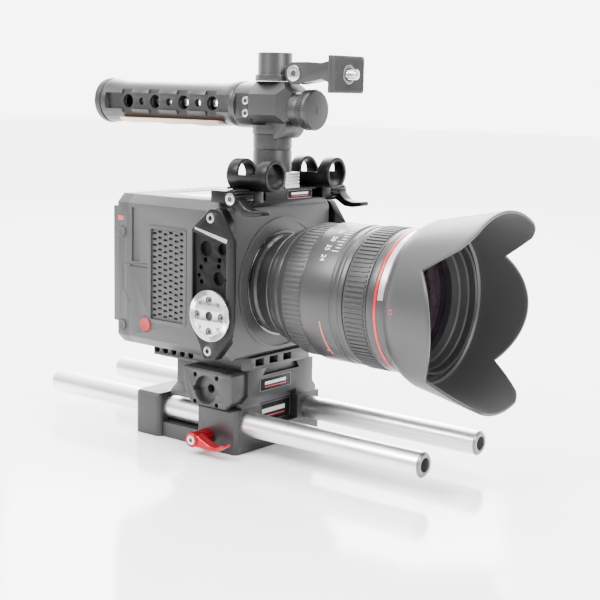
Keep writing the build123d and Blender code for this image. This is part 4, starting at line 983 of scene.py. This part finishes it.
def make_pad():
    """Rubber face with a diamond pattern of small pyramids, and the stud with its thread."""
    low_y, high_y, low_z, high_z, face = -15.3, 15.3, 220.4, 242.0, 91.4
    plate("arm_pad_look", box_outline(low_y, high_y, low_z, high_z, 2.2, 5), M["rubber"], "monitor_arm",
          "X", 90.0, face,
          [circle(0, STUD_Z, 3.7, 32)], 0.4, "arm_pad")
    bm = bmesh.new()
    pitch = 1.35
    rows, columns = int((high_z - low_z - 2) / pitch * 2), int((high_y - low_y - 2) / pitch)
    for i in range(rows):
        for j in range(columns):
            y = low_y + 1.2 + pitch * (j + 0.5 + 0.5 * (i % 2))
            z = low_z + 1.2 + pitch * 0.5 * (i + 0.5)
            if math.hypot(y, z - STUD_Z) < 4.6 or abs(y) > 14.4 or not low_z + 0.9 < z < high_z - 0.9:
                continue
            if abs(y) > 13 and abs(z - STUD_Z) > 8.8:
                continue
            h = pitch * 0.46
            corners = [bm.verts.new(Vector((face - 0.02, y + a * h, z + b * h)) * MM)
                       for a, b in ((1, 0), (0, 1), (-1, 0), (0, -1))]
            tip = bm.verts.new(Vector((face + 0.45, y, z)) * MM)
            for k in range(4):
                bm.faces.new((corners[k], corners[(k + 1) % 4], tip))
            bm.faces.new(corners)
    finish_mesh("pad_knurl", bm, M["rubber"], "monitor_arm", angle=10, weld=False)
    profile = [(84.5, 0), (84.5, 3.0), (91.2, 3.0)]
    x = 91.6
    while x < 96.6:
        profile += [(x, 2.55), (x + 0.35, 3.1)]
        x += 0.7
    profile += [(97.0, 2.5), (97.5, 1.9), (97.5, 0)]
    lathe("pad_stud_look", profile, M["steel"], "pad_stud", "pad_stud", centre=(0.0, STUD_Z), segs=48,
          closed=False,
          radius=0.04, steps=1)
    lathe("pad_washer", [(90.9, 3.75), (91.9, 3.9), (92.0, 4.3), (91.9, 5.6), (91.3, 5.9), (90.9, 5.9)],
          M["steel_dark"],
          "monitor_arm", centre=(0.0, STUD_Z), segs=48)


def make_knob():
    """Locking knob with a knurled rim, a plain face and a bright diamond mark at its centre."""
    z = KNOB_Z
    lathe("front_knob_look", [(44.0, 0), (44.0, 4.0), (60.5, 4.0), (60.5, 11.0), (61.0, 11.6),
                              (64.2, 11.6), (64.6, 11.9),
                              (65.1, 12.25), (67.3, 12.25), (68.5, 11.3), (68.5, 0)],
          M["base"], "front_knob", "front_knob", centre=(0.0, z), segs=128, closed=False, radius=0.3)
    ribbed("knob_knurl", 60.8, 64.4, 11.0, 11.5, 12.2, 54, M["base"], "front_knob", centre=(0.0, z),
           land=0.2, gap=0.4)
    plate("knob_mark", soften([(-1.5, z), (0.0, z + 3.2), (1.5, z), (0.0, z - 3.2)], 0.5), M["steel"],
          "front_knob", "X",
          68.3, 68.5, (), 0.05)


# Baseplate


def make_base():
    """Baseplate, riser and slide plate with two badges, the side boss and the red lever."""
    refine("base_body", M["base"], 0.6, 3)
    refine("riser_block", M["base"], 0.4, 2)
    refine("side_boss", M["base"], 0.5, 2)
    refine("camera_plate", M["base"], 0.4, 2)
    badge("riser_badge", (-20.0, 10.0, 36.4, 44.6), 43.7, 44.35)
    badge("base_badge", (-16.6, 16.6, 14.4, 26.4), 38.3, 39.0)
    hub = ribbed("base_lever_hub", -58.0, -42.3, 2.6, 4.2, 4.7, 14, M["red_metal"], "base_lever", (),
                 "Y", BASE_LEVER,
                 land=0.5, gap=0.32)
    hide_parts("base_lever")
    arm = [(0.0, 4.2), (4.0, 3.2), (7.0, 1.5), (14.0, -1.3), (19.0, -1.7), (25.2, 1.1), (25.9, 0.2),
           (25.6, -0.7),
           (19.5, -4.3), (13.0, -4.7), (6.0, -4.1), (0.0, -4.2)]
    lever_arm("base_lever_arm", arm, BASE_LEVER, (-57.0, -50.0), M["red_metal"], "base_lever")
    screw("base_lever_screw", "Y", *BASE_LEVER, -57.8, 3.0, 0.3, -1, "rig", M["steel"])


def make_inside():
    """Parts that show only through openings keep their CAD shape."""
    # The rear glass takes the inner glass look, with its painted reflections.
    looks = {"sensor_module": "board", "main_board": "board", "cooling_fan": "plastic",
             "rear_glass": "glass_inner",
             "iris_unit": "plastic", "base_screws": "steel", "focus_switch": "plastic",
             "stabiliser_switch": "plastic"}
    for node, mat in looks.items():
        nodes[node].data.materials.clear()
        nodes[node].data.materials.append(M[mat])


# Floor, light and camera


def stage_scene():
    """Pale floor just under the rig, the backdrop and four soft lights. Metres and watts."""
    reach, level = 6.0, -0.0002
    bm = bmesh.new()
    bm.faces.new([bm.verts.new((a * reach, b * reach, level))
                  for a, b in ((-1, -1), (1, -1), (1, 1), (-1, 1))])
    mesh = bpy.data.meshes.new("floor")
    bm.to_mesh(mesh)
    bm.free()
    floor = bpy.data.objects.new("floor", mesh)
    bpy.context.scene.collection.objects.link(floor)
    mesh.materials.append(surface("floor_gloss", "body_grey", (0.9, 0.9, 0.905), 0.12, grain=8,
                                  depth=0.0, tint=0.01,
                                  rough_span=0.02))
    studio_world()
    aim = Vector((0.03, 0.0, 0.12))
    for name, place, size, power in (("key", (-0.5, -1.3, 1.5), 0.9, 70.0),
                                     ("front", (1.6, -0.2, 0.9), 0.7, 34.0),
                                     ("top", (0.1, 0.1, 1.8), 1.2, 90.0),
                                     ("rim", (-0.9, 1.1, 1.0), 1.0, 40.0)):
        light = bpy.data.lights.new(name, "AREA")
        light.size = size
        light.energy = power
        holder = bpy.data.objects.new(name, light)
        holder.location = place
        holder.rotation_euler = (aim - Vector(place)).to_track_quat("-Z", "Y").to_euler()
        bpy.context.scene.collection.objects.link(holder)


def studio_world():
    """White backdrop behind the object that falls off to a grey room on the other side."""
    world = bpy.data.worlds.new("studio")
    bpy.context.scene.world = world
    world.use_nodes = True
    tree = world.node_tree
    new, link = tree.nodes.new, tree.links.new
    background = tree.nodes["Background"]
    coords = new("ShaderNodeTexCoord")
    facing = new("ShaderNodeVectorMath")
    facing.operation = "DOT_PRODUCT"
    facing.inputs[1].default_value = (-0.62, 0.785, 0.0)
    link(coords.outputs["Generated"], facing.inputs[0])
    fade = new("ShaderNodeMapRange")
    fade.interpolation_type = "SMOOTHSTEP"
    fade.inputs["From Min"].default_value = 0.0
    fade.inputs["From Max"].default_value = 0.85
    fade.inputs["To Min"].default_value = 1.1
    fade.inputs["To Max"].default_value = 7.0
    link(facing.outputs["Value"], fade.inputs["Value"])
    link(fade.outputs["Result"], background.inputs["Strength"])
    background.inputs["Color"].default_value = (1.0, 1.0, 1.0, 1)


def add_camera():
    """Camera at the viewing angle of the reference view. Metres and degrees."""
    place = (0.5379, -0.60705, 0.2216)
    yaw, pitch, roll = (math.radians(a) for a in (38.298, 9.386, 1.229))
    forward = Vector((-math.sin(yaw) * math.cos(pitch), math.cos(yaw) * math.cos(pitch),
                      -math.sin(pitch)))
    right = Vector((math.cos(yaw), math.sin(yaw), 0.0))
    up = right.cross(forward)
    tilted_right = right * math.cos(roll) + up * math.sin(roll)
    tilted_up = up * math.cos(roll) - right * math.sin(roll)
    data = bpy.data.cameras.new("photo_camera")
    data.lens = 76.1202
    data.sensor_width = 36.0
    data.clip_start = 0.02
    camera = bpy.data.objects.new("photo_camera", data)
    rows = [(*row, place[i]) for i, row in enumerate(zip(tilted_right, tilted_up, -forward))]
    camera.matrix_world = Matrix((*rows, (0, 0, 0, 1)))
    bpy.context.scene.collection.objects.link(camera)
    bpy.context.scene.camera = camera


make_rods()
make_lens()
make_body()
make_cage()
make_top()
make_handle()
make_base()
make_inside()
stage_scene()
add_camera()
